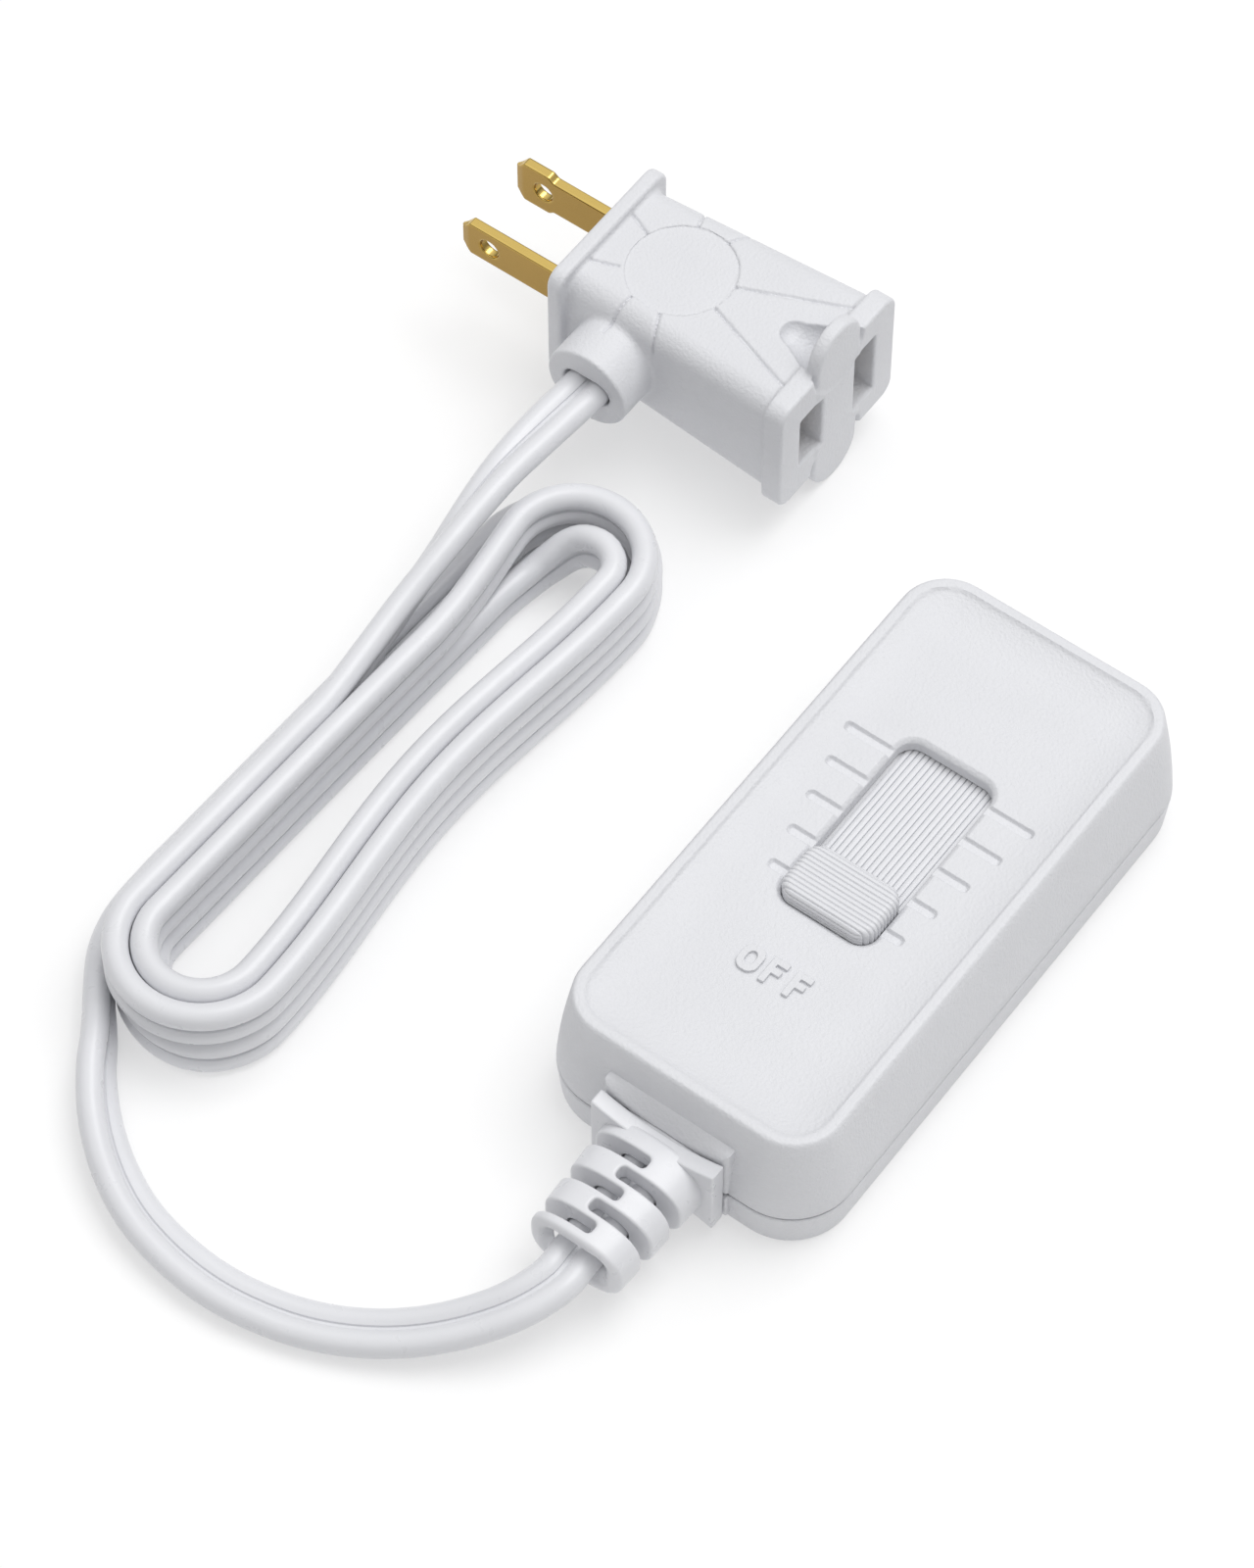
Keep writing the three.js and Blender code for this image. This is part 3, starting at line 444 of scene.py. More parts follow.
def relief_plate_field(x, y, z):
    """The plate against the box, its upper and lower edges hollowed, and the neck inside the box."""
    half_x, half_z = RELIEF["plate_half"]
    height = z - RELIEF["height"]
    dip = RELIEF["plate_arc"] * (1 - (x / half_x) ** 2)
    flat = np.maximum(np.abs(x) - half_x, np.abs(height) - half_z + dip)
    plate = extruded(flat, y, *RELIEF["plate"], RELIEF["plate_edge"])
    neck = rectangle_distance(x, height, *RELIEF["neck_shape"])
    neck = extruded(neck, y, *RELIEF["neck"], RELIEF["neck_edge"])
    return cut(joined(plate, neck), rectangle_distance(x, height, *RELIEF["bore"]))


def make_relief():
    barrel = make_piece("relief_barrel", *surface_net(
        relief_barrel_field, (-9.2, -66.2, 2), (9.2, -46.8, 16), 0.22), "cord", crease=60)
    plate = make_piece("relief_plate", *surface_net(
        relief_plate_field, (-10.3, -49.4, 2), (10.3, -39.4, 16), 0.22), "cord", crease=50)
    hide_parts("strain_relief")
    return [barrel, plate]


relief_pieces = make_relief()


# ---------------------------------------------------------------- plug
PLUG = {
    "y": 60.7, "z": 16.4, "back": -89.3, "face": -48.4,
    "body": (-88.5, -49.5), "body_start": (10.9, 9.2), "body_end": (12.8, 10.15), "body_radius": 3.4,
    "flange_end": -86.9, "flange": (12.7, 10.5, 2.4), "plate_start": -51.7, "plate": (13.6, 10.75, 2.6),
    "lobe_start": -50.6, "lobe": (5.1, 16.35, 5.05), "lobe_edge": 0.6, "lobe_fillet": 0.7,
    "gland_x": -78, "gland_y": 42.05, "gland_radius": 6.65, "gland_edge": 0.45, "gland_inside": 8,
    "gland_fillet": 1.0, "end_fillet": 0.8, "body_edge": 0.3, "flange_edge": 0.6, "plate_edge": 0.5,
    "scoop_start": -55.9, "scoop_radius": 2.25, "scoop_flare": 0.5, "scoop_height": 10.5,
    "scoop_squash": 0.95, "scoop_slope": 0.9,
    "pitch": 12.7, "mouth_half": 2.55, "hot_half": 5.1, "neutral_half": 6.0, "mouth_radius": 0.25,
    "mouth_end": -63.4, "mouth_edge": 0.5, "blade_slot": (1.0, 3.5, 0.2), "blade_slot_end": -84,
    "core": (-84.5, -62.8), "core_shape": (9, 6.2, 0.5), "bore": (40, 52.5), "bore_shape": (3.9, 2.2, 2.15),
    "disc_x": -75.2, "disc_radius": 8, "disc_depth": 0.25,
    "ray_depth": 0.42, "ray_half": 0.22, "ray_from": 3, "ray_full": 3,
}
# The fine grooves that run out from the round hollow, each from near it to its outer end (x, y).
PLUG_RAYS = [
    ((-83.1, 63.2), (-86.6, 64.7)), ((-82.8, 56.2), (-86.6, 54.8)), ((-78.2, 52.9), (-79.0, 47.5)),
    ((-73.2, 52.8), (-70.6, 46.5)), ((-67.6, 57.9), (-52.0, 52.3)), ((-67.4, 62.5), (-52.0, 68.9)),
    ((-72.8, 68.4), (-70.4, 73.6)), ((-78.0, 68.4), (-79.6, 73.6)),
]


def body_share(x):
    """How far along the tapered body, from the flange to the receptacle plate."""
    return (x - PLUG["flange_end"]) / (PLUG["plate_start"] - PLUG["flange_end"])


def plug_outside(x, y, v, w):
    """The tapered body with its flange, cord gland and receptacle plate."""
    half_v, half_w = between(PLUG["body_start"], PLUG["body_end"], np.clip(body_share(x), 0, 1))
    body = rectangle_distance(v, w, half_v, half_w, PLUG["body_radius"])
    body = extruded(body, x, *PLUG["body"], PLUG["body_edge"])
    flange = rectangle_distance(v, w, *PLUG["flange"])
    flange = extruded(flange, x, PLUG["back"], PLUG["flange_end"], PLUG["flange_edge"])
    plate = rectangle_distance(v, w, *PLUG["plate"])
    plate = extruded(plate, x, PLUG["plate_start"], PLUG["face"], PLUG["plate_edge"])
    gland = np.hypot(x - PLUG["gland_x"], w) - PLUG["gland_radius"]
    gland = extruded(gland, y, PLUG["gland_y"], PLUG["y"] - PLUG["gland_inside"], PLUG["gland_edge"])
    return joined(joined(body, gland, PLUG["gland_fillet"]), joined(flange, plate), PLUG["end_fillet"])


def with_scoops_and_lobe(shell, x, v, w):
    """A flared scoop in the upper and lower faces, which runs in under the upright centre lobe."""
    past = x - PLUG["scoop_start"]
    for side in (1, -1):
        lift = (side * w - PLUG["scoop_height"]) / PLUG["scoop_squash"]
        scoop = np.sqrt(v ** 2 + lift ** 2 + np.minimum(past, 0) ** 2)
        scoop = scoop - PLUG["scoop_radius"] - PLUG["scoop_flare"] * np.maximum(past, 0)
        shell = cut(shell, scoop * PLUG["scoop_slope"], 0.2)
    lobe = rectangle_distance(v, w, *PLUG["lobe"])
    lobe = extruded(lobe, x, PLUG["lobe_start"], PLUG["face"], PLUG["lobe_edge"])
    return joined(shell, lobe, PLUG["lobe_fillet"])


def with_openings(shell, x, y, v, w):
    """The two mouths, the slots the blades stand in, the hollow behind them and the cord's bore."""
    for side, half in ((-1, PLUG["hot_half"]), (1, PLUG["neutral_half"])):
        centred = v - side * PLUG["pitch"] / 2
        mouth = rectangle_distance(centred, w, PLUG["mouth_half"], half, PLUG["mouth_radius"])
        mouth = extruded(mouth, x, PLUG["mouth_end"], PLUG["face"] + 2, 0.1)
        shell = cut(shell, mouth, PLUG["mouth_edge"])
        blade = rectangle_distance(centred, w, *PLUG["blade_slot"])
        shell = cut(shell, extruded(blade, x, PLUG["back"] - 2, PLUG["blade_slot_end"], 0.1), 0.2)
    core = extruded(rectangle_distance(v, w, *PLUG["core_shape"]), x, *PLUG["core"], 0.2)
    bore = rectangle_distance(x - PLUG["gland_x"], w, *PLUG["bore_shape"])
    bore = extruded(bore, y, *PLUG["bore"], 0.1)
    return cut(cut(shell, core), bore, 0.5)


def with_grip(shell, x, y, v, w):
    """The round hollow in the upper face and the fine grooves round it."""
    upper_face = PLUG["body_start"][1] + (PLUG["body_end"][1] - PLUG["body_start"][1]) * body_share(x)
    disc = np.maximum(np.hypot(x - PLUG["disc_x"], v) - PLUG["disc_radius"],
                      upper_face - PLUG["disc_depth"] - w)
    shell = cut(shell, disc, 0.1)
    depth = PLUG["ray_depth"] * smoothstep((w - PLUG["ray_from"]) / PLUG["ray_full"])
    for start, end in PLUG_RAYS:
        away = segment_distance(x, y, start, end)
        shell = shell + depth * np.exp(-(away / PLUG["ray_half"]) ** 2)
    return shell


def plug_field(x, y, z):
    v, w = y - PLUG["y"], z - PLUG["z"]
    shell = with_scoops_and_lobe(plug_outside(x, y, v, w), x, v, w)
    return with_grip(with_openings(shell, x, y, v, w), x, y, v, w)


BLADE = {
    "tip": -108.6, "root": -82.6, "half": 3.25, "wide_half": 3.95, "wide_end": -102.6, "flare_run": 1.2,
    "thick_half": 0.8, "edge": 0.22, "hole_x": -103.6, "hole_radius": 1.6,
    "nose_start": 1.6, "nose_slope": (0.68, 0.666), "thin_run": 1.6, "thin_by": 0.25, "thin_from": 0.2,
}


def blade_field(centre, tip_half):
    def field(x, y, z):
        w = np.abs(z - PLUG["z"])
        flare = smoothstep((BLADE["wide_end"] + 1.0 - x) / BLADE["flare_run"])
        half = BLADE["half"] + (tip_half - BLADE["half"]) * flare
        across, along = BLADE["nose_slope"]
        nose = (w - half + BLADE["nose_start"]) * across - (x - BLADE["tip"]) * along
        ends = np.maximum(BLADE["tip"] - x, x - BLADE["root"])
        hole = BLADE["hole_radius"] - np.hypot(x - BLADE["hole_x"], z - PLUG["z"])
        flat = np.maximum(np.maximum(np.maximum(w - half, nose), ends), hole)
        thin = smoothstep((BLADE["tip"] + BLADE["thin_run"] - x) / BLADE["thin_run"]) * BLADE["thin_by"]
        blade = extruded(
            flat, y, centre - BLADE["thick_half"], centre + BLADE["thick_half"], BLADE["edge"])
        return blade + thin * (np.abs(y - centre) > BLADE["thin_from"])
    return field


def make_plug():
    shell = make_piece("plug_shell", *surface_net(
        plug_field, (-90, 41.4, -0.8), (-47.7, 75, 33.6), 0.24), "housing", crease=50)
    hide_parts("plug_body")
    pieces = [shell]
    for name, side, tip_half in (("narrow", -1, BLADE["half"]), ("wide", 1, BLADE["wide_half"])):
        centre = PLUG["y"] + side * PLUG["pitch"] / 2
        blade = make_piece(f"plug_blade_{name}", *surface_net(
            blade_field(centre, tip_half), (-109.2, centre - 1.3, 11.8), (-82, centre + 1.3, 21), 0.16),
            "blades", crease=50)
        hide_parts(f"blade_{name}")
        pieces.append(blade)
    return pieces


plug_pieces = make_plug()


# ---------------------------------------------------------------- dimmer covers
# Outlines are (width along X, length along Y, corner radius); the slot is (width, low Y, high Y, radius).
COVER = {
    "top": 22.2, "floor": 20.95, "parting": 6.8, "seam": 0.15, "ceiling": 18.8, "wall": 2.2,
    "rim": (40.6, 86.4, 7), "body": (45, 91, 9.5), "base": (44, 90, 9), "fillet": 0.55,
    "rim_band": 1.5, "dish_run": 7.5, "dish_power": 2.7, "step": 0.2, "step_run": 0.45, "bulge": 0.35,
    "slot": (14.8, -12, 18.7, 2.6), "slot_lip": 0.7, "seam_edge": 0.15, "foot_radius": 1, "crease": 38,
    "face_rings": 76, "wall_rings": 9,
}
TICK = {
    "count": 5, "half": 0.85, "floor": 20.38, "first_y": 15.1, "pitch": 5.87,
    "first_reach": 15.1, "step_reach": 1.08, "wall": 0.4, "spread": 0.03,
    "cleared": (0.35, 1.05), "row_shifts": (-0.42, -0.36, -0.27, -0.17, -0.07, 0.0, 0.04),
}
# Every outline has these rows of points down its long sides and so many round each end.
SIDE_SPAN = (-9.4, 16.1)
SIDE_POINTS = 52
END_POINTS = 110
CORNER_POINTS = 24


def tick_rows():
    """Each groove's centre along Y and how far it reaches from the middle."""
    return [(TICK["first_y"] - i * TICK["pitch"], TICK["first_reach"] - i * TICK["step_reach"])
            for i in range(TICK["count"])]


def side_rows():
    """The Y of each row of points down a long side, closer together at the grooves' edges."""
    rows = set(np.round(np.linspace(*SIDE_SPAN, SIDE_POINTS), 3))
    nearest, furthest = TICK["cleared"]
    for centre, _ in tick_rows():
        rows = {y for y in rows if not nearest <= abs(y - centre) <= furthest}
        rows |= {round(centre + side * (TICK["half"] + shift), 3)
                 for side in (-1, 1) for shift in TICK["row_shifts"]}
    return np.array(sorted(y for y in rows if SIDE_SPAN[0] <= y <= SIDE_SPAN[1]))


def end_run(half_width, end, radius, from_y, direction):
    """Points from a long side round one end to the other long side, evenly along the outline."""
    corners = []
    for side in (1, -1):
        for angle in np.linspace(0, math.pi / 2, CORNER_POINTS):
            turn = angle if side == 1 else math.pi / 2 - angle
            corners.append((side * (half_width - radius + radius * math.cos(turn)),
                            end - direction * radius + direction * radius * math.sin(turn)))
    corners = [(half_width, from_y)] + corners + [(-half_width, from_y)]
    corners = np.array(corners)
    gone = np.concatenate([[0], np.cumsum(np.linalg.norm(np.diff(corners, axis=0), axis=1))])
    even = np.linspace(0, gone[-1], END_POINTS + 2)[1:-1]
    return np.stack([np.interp(even, gone, corners[:, k]) for k in range(2)], axis=1)


def outline(width, low_y, high_y, radius, grow=0.0):
    """A rounded rectangle whose points match those of every other outline made here."""
    half = width / 2 + grow
    rows = side_rows()
    right = np.stack([np.full(len(rows), half), rows], axis=1)
    far = end_run(half, high_y + grow, radius + grow, SIDE_SPAN[1], 1)
    near = end_run(half, low_y - grow, radius + grow, SIDE_SPAN[0], -1)
    return np.vstack([right, far, right[::-1] * (-1, 1), near[::-1]])


def box_outline(size, grow=0.0):
    width, length, radius = size
    return outline(width, -length / 2, length / 2, radius, grow)


def wall_size(height):
    """The top cover's outline at a height: it leans in and bulges a little on the way up."""
    share = (height - COVER["parting"]) / (COVER["top"] - COVER["parting"])
    bulge = COVER["bulge"] * math.sin(math.pi * share)
    width, length, radius = between(COVER["body"], COVER["rim"], share)
    return width + bulge, length + bulge, radius


def top_height(x, y):
    """The height of the cover's upper face: a shallow dish inside the rim, with the tick grooves."""
    width, length, radius = COVER["rim"]
    inset = -rectangle_distance(x, y, width / 2, length / 2, radius)
    past_band = inset - COVER["rim_band"]
    dish = 1 - (1 - np.clip(past_band / COVER["dish_run"], 0, 1)) ** COVER["dish_power"]
    step = smoothstep(past_band / COVER["step_run"])
    dish = COVER["step"] * step + (1 - COVER["step"]) * dish
    height = COVER["top"] - (COVER["top"] - COVER["floor"]) * dish
    return cut_by_ticks(x, y, height)


def cut_by_ticks(x, y, height):
    """The height lowered to the tick grooves' floor where a groove is."""
    for centre, reach in tick_rows():
        past = np.maximum(np.abs(x) - (reach - TICK["half"]), 0)
        inside = TICK["spread"] + TICK["half"] - np.hypot(past, y - centre)
        height = height + smoothstep(inside / TICK["wall"]) * np.minimum(TICK["floor"] - height, 0)
    return height


def flat_ring(points, height):
    return np.column_stack([points, np.full(len(points), height)])


def slot_rings():
    """Up the slot's wall and over its rounded lip, with the tick grooves cut through both."""
    lip = COVER["slot_lip"]
    rings = []
    for grow, drop in ((0, COVER["floor"] - COVER["ceiling"]), (0, lip + 0.1), (0, lip), (0.1, lip * 0.72),
                       (lip * 0.5, lip * 0.36), (lip * 0.88, 0.05), (lip, 0.0)):
        ring = outline(*COVER["slot"], grow)
        nominal = np.full(len(ring), COVER["floor"] - drop)
        rings.append(np.column_stack([ring, cut_by_ticks(*ring.T, nominal)]))
    return rings


def face_rings():
    """Across the upper face from the slot's lip to the rim."""
    inner = outline(*COVER["slot"], COVER["slot_lip"])
    outer = box_outline(COVER["rim"], -COVER["fillet"])
    rings = [inner + (outer - inner) * share for share in np.linspace(0, 1, COVER["face_rings"])[1:]]
    return [np.column_stack([ring, top_height(*ring.T)]) for ring in rings]


def wall_rings():
    """Over the rim's rounded edge, down the wall to the parting line and up the inside."""
    rings = []
    fillet = COVER["fillet"]
    for angle in np.radians([22, 45, 68]):
        ring = box_outline(COVER["rim"], fillet * (math.sin(angle) - 1))
        rings.append(flat_ring(ring, COVER["top"] - fillet + fillet * math.cos(angle)))
    bottom = COVER["parting"] + COVER["seam"]
    for height in np.linspace(COVER["top"] - fillet, bottom + 0.25, COVER["wall_rings"]):
        rings.append(flat_ring(box_outline(wall_size(height)), height))
    rings.append(flat_ring(box_outline(wall_size(bottom), -COVER["seam_edge"]), bottom))
    rings.append(flat_ring(box_outline(wall_size(bottom), -COVER["wall"]), bottom))
    rings.append(flat_ring(box_outline(wall_size(COVER["ceiling"]), -COVER["wall"]), COVER["ceiling"]))
    return rings


def make_top_cover():
    rings = slot_rings() + face_rings() + wall_rings()
    faces = grid_faces(len(rings), len(rings[0]), wrap_rows=True)
    cover = make_piece("cover_top", np.vstack(rings), faces, "housing", crease=COVER["crease"])
    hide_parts("top_cover")


def base_rings():
    """From the inside floor up to the parting line, down the wall and round the foot."""
    top = COVER["parting"] - COVER["seam"]
    foot = COVER["foot_radius"]
    rings = [flat_ring(box_outline(COVER["base"], -COVER["wall"]), COVER["wall"])]
    rings.append(flat_ring(box_outline(COVER["body"], -COVER["wall"]), top))
    rings.append(flat_ring(box_outline(COVER["body"], -COVER["seam_edge"]), top))
    rings.append(flat_ring(box_outline(COVER["body"]), top - 0.2))
    for share in (0.66, 0.33):
        size = between(COVER["base"], COVER["body"], share)
        rings.append(flat_ring(box_outline(size), foot + (top - foot) * share))
    for angle in np.radians([0, 25, 45, 65, 90]):
        ring = box_outline(COVER["base"], foot * (math.cos(angle) - 1))
        rings.append(flat_ring(ring, foot * (1 - math.sin(angle))))
    return rings


SCREW_HOLES = {"x": 16, "y": 36.8, "radius": 3.0, "depth": 3.0, "sides": 40}


def counterbore(base, x, y):
    """Cuts the round recess that a cover screw's head sits in."""
    radius, sides = SCREW_HOLES["radius"], SCREW_HOLES["sides"]
    angles = np.linspace(0, 2 * math.pi, sides, endpoint=False)
    circle = np.stack([x + radius * np.cos(angles), y + radius * np.sin(angles)], axis=1)
    points = np.vstack([flat_ring(circle, -1), flat_ring(circle, SCREW_HOLES["depth"])])
    cutter = link_mesh("cutter", points, tube_faces(2, sides))
    boolean = base.modifiers.new("counterbore", "BOOLEAN")
    boolean.operation = "DIFFERENCE"
    boolean.object = cutter
    depsgraph = bpy.context.evaluated_depsgraph_get()
    base.data = bpy.data.meshes.new_from_object(base.evaluated_get(depsgraph))
    base.modifiers.clear()
    bpy.data.objects.remove(cutter)


def make_base_cover():
    rings = base_rings()
    faces = [face[::-1] for face in tube_faces(len(rings), len(rings[0]))]
    base = link_mesh("cover_base", np.vstack(rings), faces)
    for x in (-SCREW_HOLES["x"], SCREW_HOLES["x"]):
        for y in (-SCREW_HOLES["y"], SCREW_HOLES["y"]):
            counterbore(base, x, y)
    shade_smooth(base.data, COVER["crease"])
    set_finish(base, "housing")
    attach(base, "root")
    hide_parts("base_cover")


SPOUT = {
    "half": 9.9, "y": (-46, -41), "arc": 2.2, "arc_from": -44, "arc_run": 2,
    "hole": (6.2, 4.8, 0.3), "edge": 0.3, "pillow": 0.7,
}


def spout_field(low, high, crown):
    """The block on the near wall that the strain relief's plate sits against."""
    def field(x, y, z):
        arc = SPOUT["arc"] * (1 - (x / SPOUT["half"]) ** 2) * crown
        fall = arc * smoothstep((SPOUT["arc_from"] - y) / SPOUT["arc_run"])
        flat = np.maximum(np.abs(x) - SPOUT["half"], np.maximum(low - z, z - (high - fall)))
        block = extruded(flat, y, *SPOUT["y"], SPOUT["edge"] + SPOUT["pillow"] * crown)
        return cut(block, rectangle_distance(x, z - RELIEF["height"], *SPOUT["hole"]))
    return field


def make_spout():
    for name, low, high, crown in (("spout_upper", 6.95, 16.7, 1), ("spout_lower", 2, 6.65, 0)):
        make_piece(name, *surface_net(
            spout_field(low, high, crown), (-10.4, -46.6, low - 0.6), (10.4, -42.6, high + 0.6), 0.2),
            "housing", crease=50)


MARK = {
    "y": -22, "height": 4.2, "stroke": 0.95, "pitch": 3.75, "low": 20.7, "high": 21.42, "edge": 0.06,
    "oval_half": 1.62, "oval_radius": 1.5, "oval_hole_radius": 0.85,
    "f_left": 1.3, "f_top": 1.25, "f_middle": 1.1, "f_middle_up": 0.15, "f_corner": 0.08,
}


def mark_field(x, y, z):
    """The raised word OFF, in plain block letters."""
    half, stroke, corner = MARK["height"] / 2, MARK["stroke"], MARK["f_corner"]
    v = y - MARK["y"]
    outer = rectangle_distance(x + MARK["pitch"], v, MARK["oval_half"], half, MARK["oval_radius"])
    inner = rectangle_distance(x + MARK["pitch"], v, MARK["oval_half"] - stroke, half - stroke,
                               MARK["oval_hole_radius"])
    flat = np.maximum(outer, -inner)
    for centre in (0, MARK["pitch"]):
        u = x - centre + MARK["f_left"]
        flat = np.minimum(flat, rectangle_distance(u - stroke / 2, v, stroke / 2, half, corner))
        for reach, up in ((MARK["f_top"], half - stroke / 2), (MARK["f_middle"], MARK["f_middle_up"])):
            flat = np.minimum(flat, rectangle_distance(u - reach, v - up, reach, stroke / 2, corner))
    return extruded(flat, z, MARK["low"], MARK["high"], MARK["edge"])


def make_mark():
    make_piece("mark_off", *surface_net(
        mark_field, (-6, -24.5, 20.5), (5.6, -19.5, 21.7), 0.1), "housing", crease=50)


make_top_cover()
make_base_cover()
make_spout()
make_mark()


# ---------------------------------------------------------------- slide control
KNOB = {
    "half": 7.3, "near": -11.95, "far": -2.7, "low": 18.8, "top": 22.9, "corner": 2.5, "edge": 1.15,
    "ribs": 13, "groove": 0.22, "groove_half": 0.1, "nose": 0.7, "nose_run": 0.5,
}
STRIP = {
    "half": 8.7, "low": 17, "top": 18.5, "start": -33.2, "end": 20, "ribs": 16, "band": 13.4,
    "shift": 0.4, "groove": 0.32, "groove_half": 0.02, "shoulder": 0.12, "crown": 0.14, "crown_points": 6,
}


def rib_grooves(height, first, pitch):
    """1 in the middle of each groove and almost 0 between them."""
    off = (height - first) / pitch
    return np.exp(-((off - np.round(off)) * pitch / KNOB["groove_half"]) ** 2)


def knob_field(x, y, z):
    """A rounded block, its cross grooves going down its near end as well."""
    middle = (KNOB["near"] + KNOB["far"]) / 2
    half_y = (KNOB["far"] - KNOB["near"]) / 2
    flat = rectangle_distance(x, y - middle, KNOB["half"], half_y, KNOB["corner"])
    block = extruded(flat, z, KNOB["low"] - 3, KNOB["top"], KNOB["edge"])
    block = np.maximum(block, KNOB["low"] - z)
    pitch = 2 * half_y / KNOB["ribs"]
    nose = smoothstep((KNOB["near"] + KNOB["nose"] - y) / KNOB["nose_run"])
    grooves = rib_grooves(y, KNOB["near"], pitch) * (1 - nose) + rib_grooves(z, KNOB["top"], pitch) * nose
    return block + KNOB["groove"] * grooves


def strip_profile():
    """The strip's section across X: low ribs between thin grooves, and a plain margin at the right."""
    start = -STRIP["band"] / 2 - STRIP["shift"]
    pitch = STRIP["band"] / STRIP["ribs"]
    bottom = STRIP["top"] - STRIP["groove"]
    ribs = []
    for index in range(STRIP["ribs"]):
        left = start + index * pitch
        ribs.append((left + STRIP["groove_half"], bottom))
        for share in np.linspace(0.1, 0.9, STRIP["crown_points"]):
            crown = STRIP["crown"] * (1 - (2 * share - 1) ** 2)
            ribs.append((left + share * pitch, STRIP["top"] - STRIP["shoulder"] + crown))
        ribs.append((left + pitch - STRIP["groove_half"], bottom))
    ribs.append((start + STRIP["band"] + 0.1, STRIP["top"]))
    underside = [(-STRIP["half"], STRIP["low"]), (STRIP["half"], STRIP["low"])]
    return underside + [(STRIP["half"], STRIP["top"])] + ribs[::-1] + [(-STRIP["half"], STRIP["top"])]


def make_slider():
    knob = make_piece("slider_cap", *surface_net(
        knob_field, (-7.6, -12.3, 18.5), (7.6, -2.3, 23.2), 0.085), "knob", body="slider", crease=60)
    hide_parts("slider_knob")
    profile = np.array(strip_profile())
    rows = [np.column_stack([profile[:, 0], np.full(len(profile), y), profile[:, 1]])
            for y in (STRIP["start"], STRIP["end"])]
    faces = [face[::-1] for face in tube_faces(2, len(profile))]
    strip = make_piece("slider_strip", np.vstack(rows), faces, "knob", body="slider", crease=30)
    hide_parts("slider_shutter")


make_slider()


# ---------------------------------------------------------------- materials
BROAD_NOISE = 90


def new_material(name, colour, roughness, metallic=0.0, specular=0.5):
    material = bpy.data.materials.new(name)
    material.use_nodes = True
    shader = material.node_tree.nodes["Principled BSDF"]
    shader.inputs["Base Color"].default_value = (*colour, 1)
    shader.inputs["Roughness"].default_value = roughness
    shader.inputs["Metallic"].default_value = metallic
    shader.inputs["Specular IOR Level"].default_value = specular
    return material, shader


def mix_colours(nodes, first, second):
    """A colour mix node: its inputs 6 and 7 are the two colours, and its output 2 is the mixed one."""
    mix = nodes.new("ShaderNodeMix")
    mix.data_type = "RGBA"
    mix.inputs[6].default_value = (*first, 1)
    mix.inputs[7].default_value = (*second, 1)
    return mix


def add_noise(nodes, links, place, scale, detail, stretch=(1, 1, 1)):
    mapping = nodes.new("ShaderNodeMapping")
    mapping.inputs["Scale"].default_value = stretch
    links.new(place.outputs["Object"], mapping.inputs["Vector"])
    noise = nodes.new("ShaderNodeTexNoise")
    noise.inputs["Scale"].default_value = scale
    noise.inputs["Detail"].default_value = detail
    links.new(mapping.outputs["Vector"], noise.inputs["Vector"])
    return noise


def procedural(name, colour, roughness, grain_mm, bump_mm, metallic=0.0,
               variation=0.03, spread=0.08, stretch=(1, 1, 1)):
    """A material whose colour, roughness and fine relief vary with noise fixed to the object."""
    material, shader = new_material(name, colour, roughness, metallic)
    nodes, links = material.node_tree.nodes, material.node_tree.links
    place = nodes.new("ShaderNodeTexCoord")
    broad = add_noise(nodes, links, place, BROAD_NOISE, 3)
    shades = mix_colours(nodes, [c * (1 - variation) for c in colour],
                         [min(1, c * (1 + variation)) for c in colour])
    links.new(broad.outputs["Fac"], shades.inputs["Factor"])
    links.new(shades.outputs[2], shader.inputs["Base Color"])
    grain = add_noise(nodes, links, place, 1 / (grain_mm * MM), 2, stretch)
    rough = nodes.new("ShaderNodeMapRange")
    rough.inputs["To Min"].default_value = roughness - spread
    rough.inputs["To Max"].default_value = roughness + spread
    links.new(grain.outputs["Fac"], rough.inputs["Value"])
    links.new(rough.outputs["Result"], shader.inputs["Roughness"])
    bump = nodes.new("ShaderNodeBump")
    bump.inputs["Strength"].default_value = 1.0
    bump.inputs["Distance"].default_value = bump_mm * MM
    links.new(grain.outputs["Fac"], bump.inputs["Height"])
    links.new(bump.outputs["Normal"], shader.inputs["Normal"])
    return material


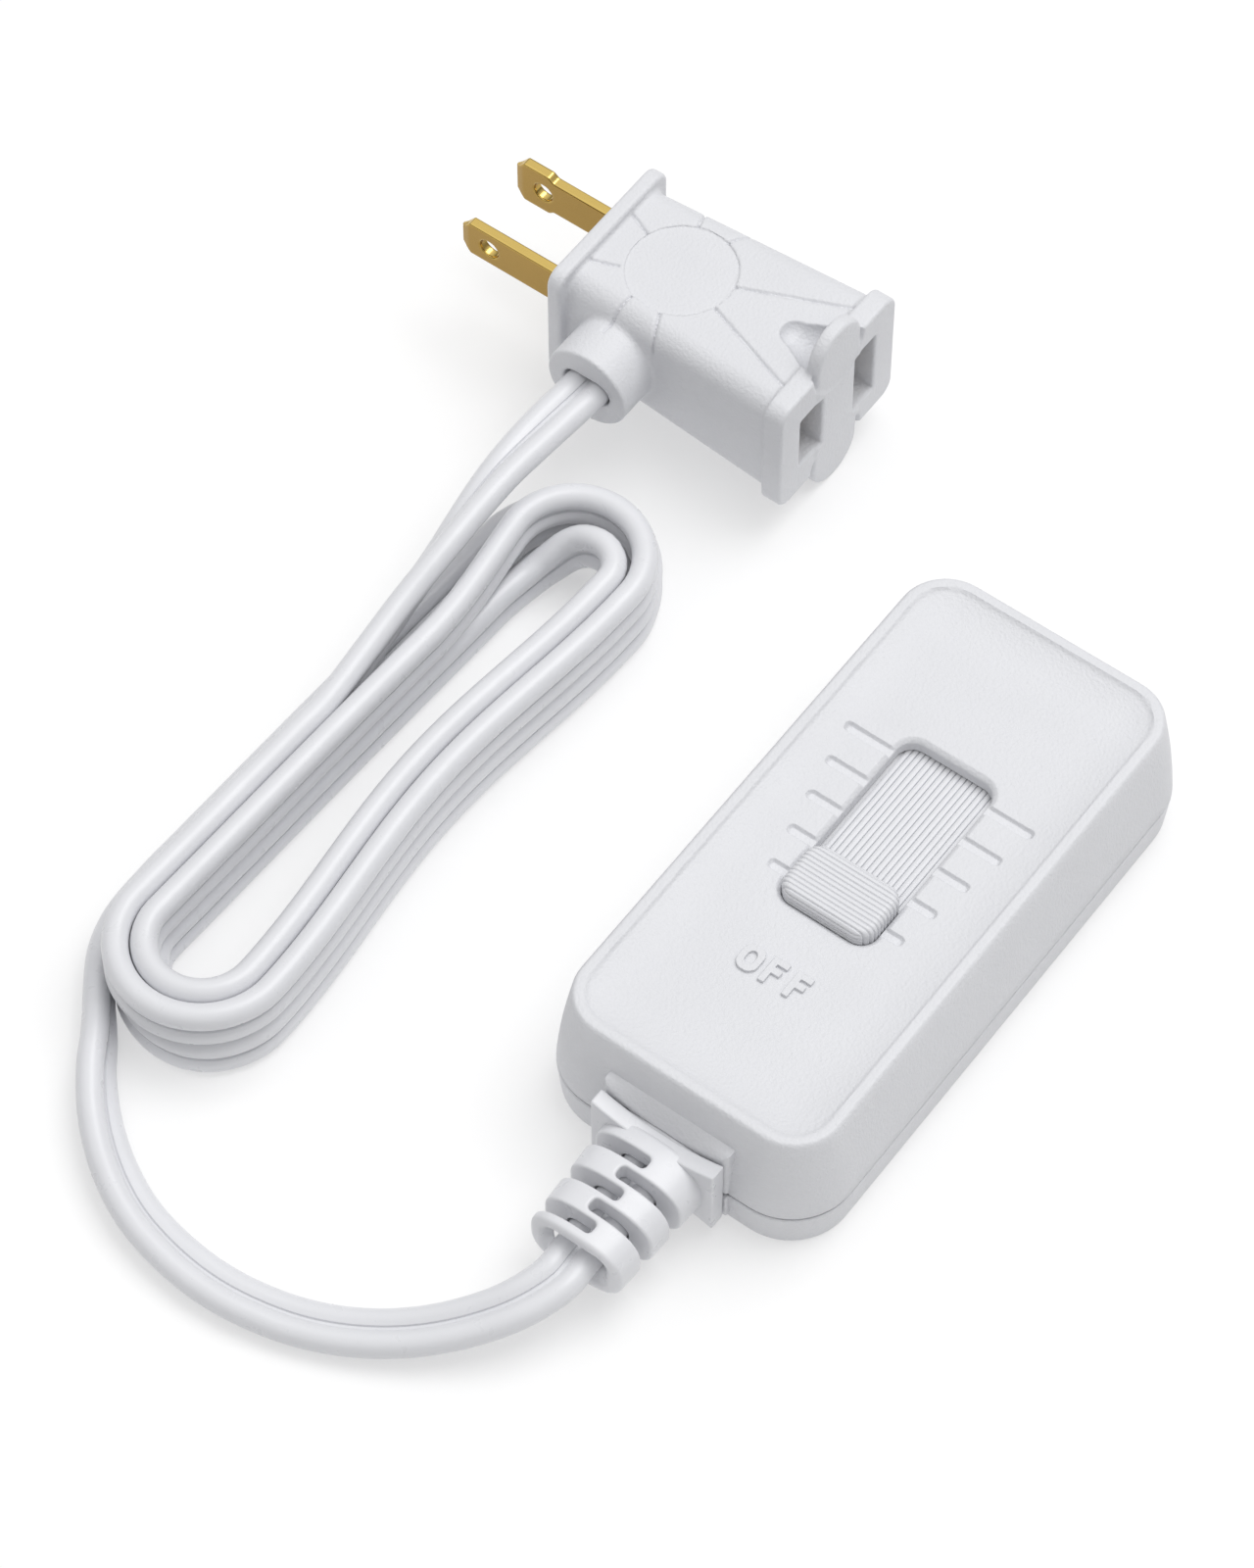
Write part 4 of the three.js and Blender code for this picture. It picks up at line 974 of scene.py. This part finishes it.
MATERIALS = {
    "housing": procedural("white_spark_plastic", (0.675, 0.68, 0.705), 0.5, 0.45, 0.12),
    "knob": procedural("white_knob_plastic", (0.69, 0.695, 0.72), 0.42, 0.5, 0.02),
    "cord": procedural("white_pvc", (0.70, 0.705, 0.73), 0.3, 2.2, 0.04),
    "blades": procedural("gold_brass", (0.36, 0.225, 0.052), 0.22, 0.8, 0.008, metallic=1.0,
                         variation=0.06, spread=0.06, stretch=(0.15, 1, 1)),
    "contacts": procedural("contact_brass", (0.78, 0.62, 0.36), 0.35, 0.5, 0.01, 1.0, variation=0.08),
    "carrier": procedural("cream_carrier", (0.72, 0.62, 0.46), 0.6, 0.4, 0.03),
    "screws": procedural("zinc_steel", (0.62, 0.63, 0.65), 0.32, 0.3, 0.01, 1.0, variation=0.08),
    "board": procedural("board_green", (0.05, 0.22, 0.09), 0.5, 0.6, 0.01, variation=0.15),
    "carriage": procedural("grey_plastic", (0.48, 0.49, 0.51), 0.5, 0.4, 0.03),
    "black_parts": procedural("black_plastic", (0.018, 0.018, 0.02), 0.45, 0.3, 0.02, variation=0.2),
    "heat_sink": procedural("aluminium", (0.68, 0.69, 0.7), 0.36, 0.4, 0.01, 1.0, variation=0.05,
                            stretch=(1, 0.1, 1)),
    "copper": procedural("copper_wire", (0.72, 0.36, 0.18), 0.3, 0.4, 0.01, 1.0, variation=0.08),
    "cream_parts": procedural("cream_resin", (0.66, 0.55, 0.36), 0.45, 0.5, 0.02),
    "grey_parts": procedural("grey_resin", (0.4, 0.41, 0.43), 0.45, 0.5, 0.02),
}


def paint_highlight_on_blade_edges(material, colour):
    """A painted highlight: the blades' top and bottom edges get a brighter base colour than their rolled
    faces, mixed in as their normal points more straight up or down, though the brass is one colour all
    over.
    """
    nodes, links = material.node_tree.nodes, material.node_tree.links
    shade = nodes["Principled BSDF"].inputs["Base Color"]
    place = nodes.new("ShaderNodeTexCoord")
    split = nodes.new("ShaderNodeSeparateXYZ")
    links.new(place.outputs["Normal"], split.inputs["Vector"])
    upright = nodes.new("ShaderNodeMath")
    upright.operation = "ABSOLUTE"
    links.new(split.outputs["Z"], upright.inputs[0])
    # This mix towards the brighter colour is the painted highlight, set by how far each face points up or
    # down.
    edge = mix_colours(nodes, (0, 0, 0), colour)
    links.new(upright.outputs["Value"], edge.inputs["Factor"])
    links.new(shade.links[0].from_socket, edge.inputs[6])
    links.new(edge.outputs[2], shade)


# Painted highlight: the blades' upward and downward faces get this brighter brass in their base colour.
paint_highlight_on_blade_edges(MATERIALS["blades"], (0.72, 0.52, 0.16))
BEVEL = 0.12
NODE_SLOTS = {row["node"]: row["material_slot"] for row in frame["record"]["subparts"]}


def finish_pieces():
    """Every piece and every CAD node still shown takes the material of its slot."""
    for obj in bpy.data.objects:
        if obj.type != "MESH" or obj.hide_render:
            continue
        slot = obj.get("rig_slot") or NODE_SLOTS.get(obj.name)
        if slot is None:
            continue
        obj.data.materials.clear()
        obj.data.materials.append(MATERIALS[slot])
        if "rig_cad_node" in obj:
            bevel = obj.modifiers.new("soft_edges", "BEVEL")
            bevel.width = BEVEL * MM
            bevel.segments = 2
            bevel.limit_method = "ANGLE"


finish_pieces()


# ---------------------------------------------------------------- floor and light
FLOOR = {"half": 3000, "colour": (0.55, 0.55, 0.55), "roughness": 0.9, "glow": 0.4}
KEY_LIGHT = {"place": (0.2, 0.5, 1.4), "aim": (-0.03, 0, 0), "size": 1.0, "power": 10.5}
# A pale dome, brighter overhead than at the horizon.
SKY = {"horizon": 0.04, "zenith": 1.12}


def make_floor():
    """A pale floor that glows a little, so that it stays as light as the photo's background."""
    half = FLOOR["half"]
    corners = [(-half, -half, 0), (half, -half, 0), (half, half, 0), (-half, half, 0)]
    floor = link_mesh("floor", corners, [(0, 1, 2, 3)])
    material, shader = new_material("pale_floor", FLOOR["colour"], FLOOR["roughness"], specular=0.0)
    shader.inputs["Emission Color"].default_value = (1, 1, 1, 1)
    shader.inputs["Emission Strength"].default_value = FLOOR["glow"]
    floor.data.materials.append(material)


def make_sky():
    world = bpy.data.worlds.new("studio")
    world.use_nodes = True
    nodes, links = world.node_tree.nodes, world.node_tree.links
    place = nodes.new("ShaderNodeTexCoord")
    split = nodes.new("ShaderNodeSeparateXYZ")
    links.new(place.outputs["Generated"], split.inputs["Vector"])
    rise = nodes.new("ShaderNodeMapRange")
    rise.inputs["To Min"].default_value = SKY["horizon"]
    rise.inputs["To Max"].default_value = SKY["zenith"]
    links.new(split.outputs["Z"], rise.inputs["Value"])
    nodes["Background"].inputs["Color"].default_value = (1, 1, 1, 1)
    links.new(rise.outputs["Result"], nodes["Background"].inputs["Strength"])
    bpy.context.scene.world = world


def make_key_light():
    """A soft light high above the far side of the part."""
    data = bpy.data.lights.new("key", "AREA")
    data.size = KEY_LIGHT["size"]
    data.energy = KEY_LIGHT["power"]
    light = bpy.data.objects.new("key", data)
    light.location = KEY_LIGHT["place"]
    aim = Vector(KEY_LIGHT["aim"]) - Vector(KEY_LIGHT["place"])
    light.rotation_euler = aim.to_track_quat("-Z", "Y").to_euler()
    bpy.context.scene.collection.objects.link(light)


make_floor()
make_sky()
make_key_light()
bpy.context.scene.view_settings.view_transform = "Standard"
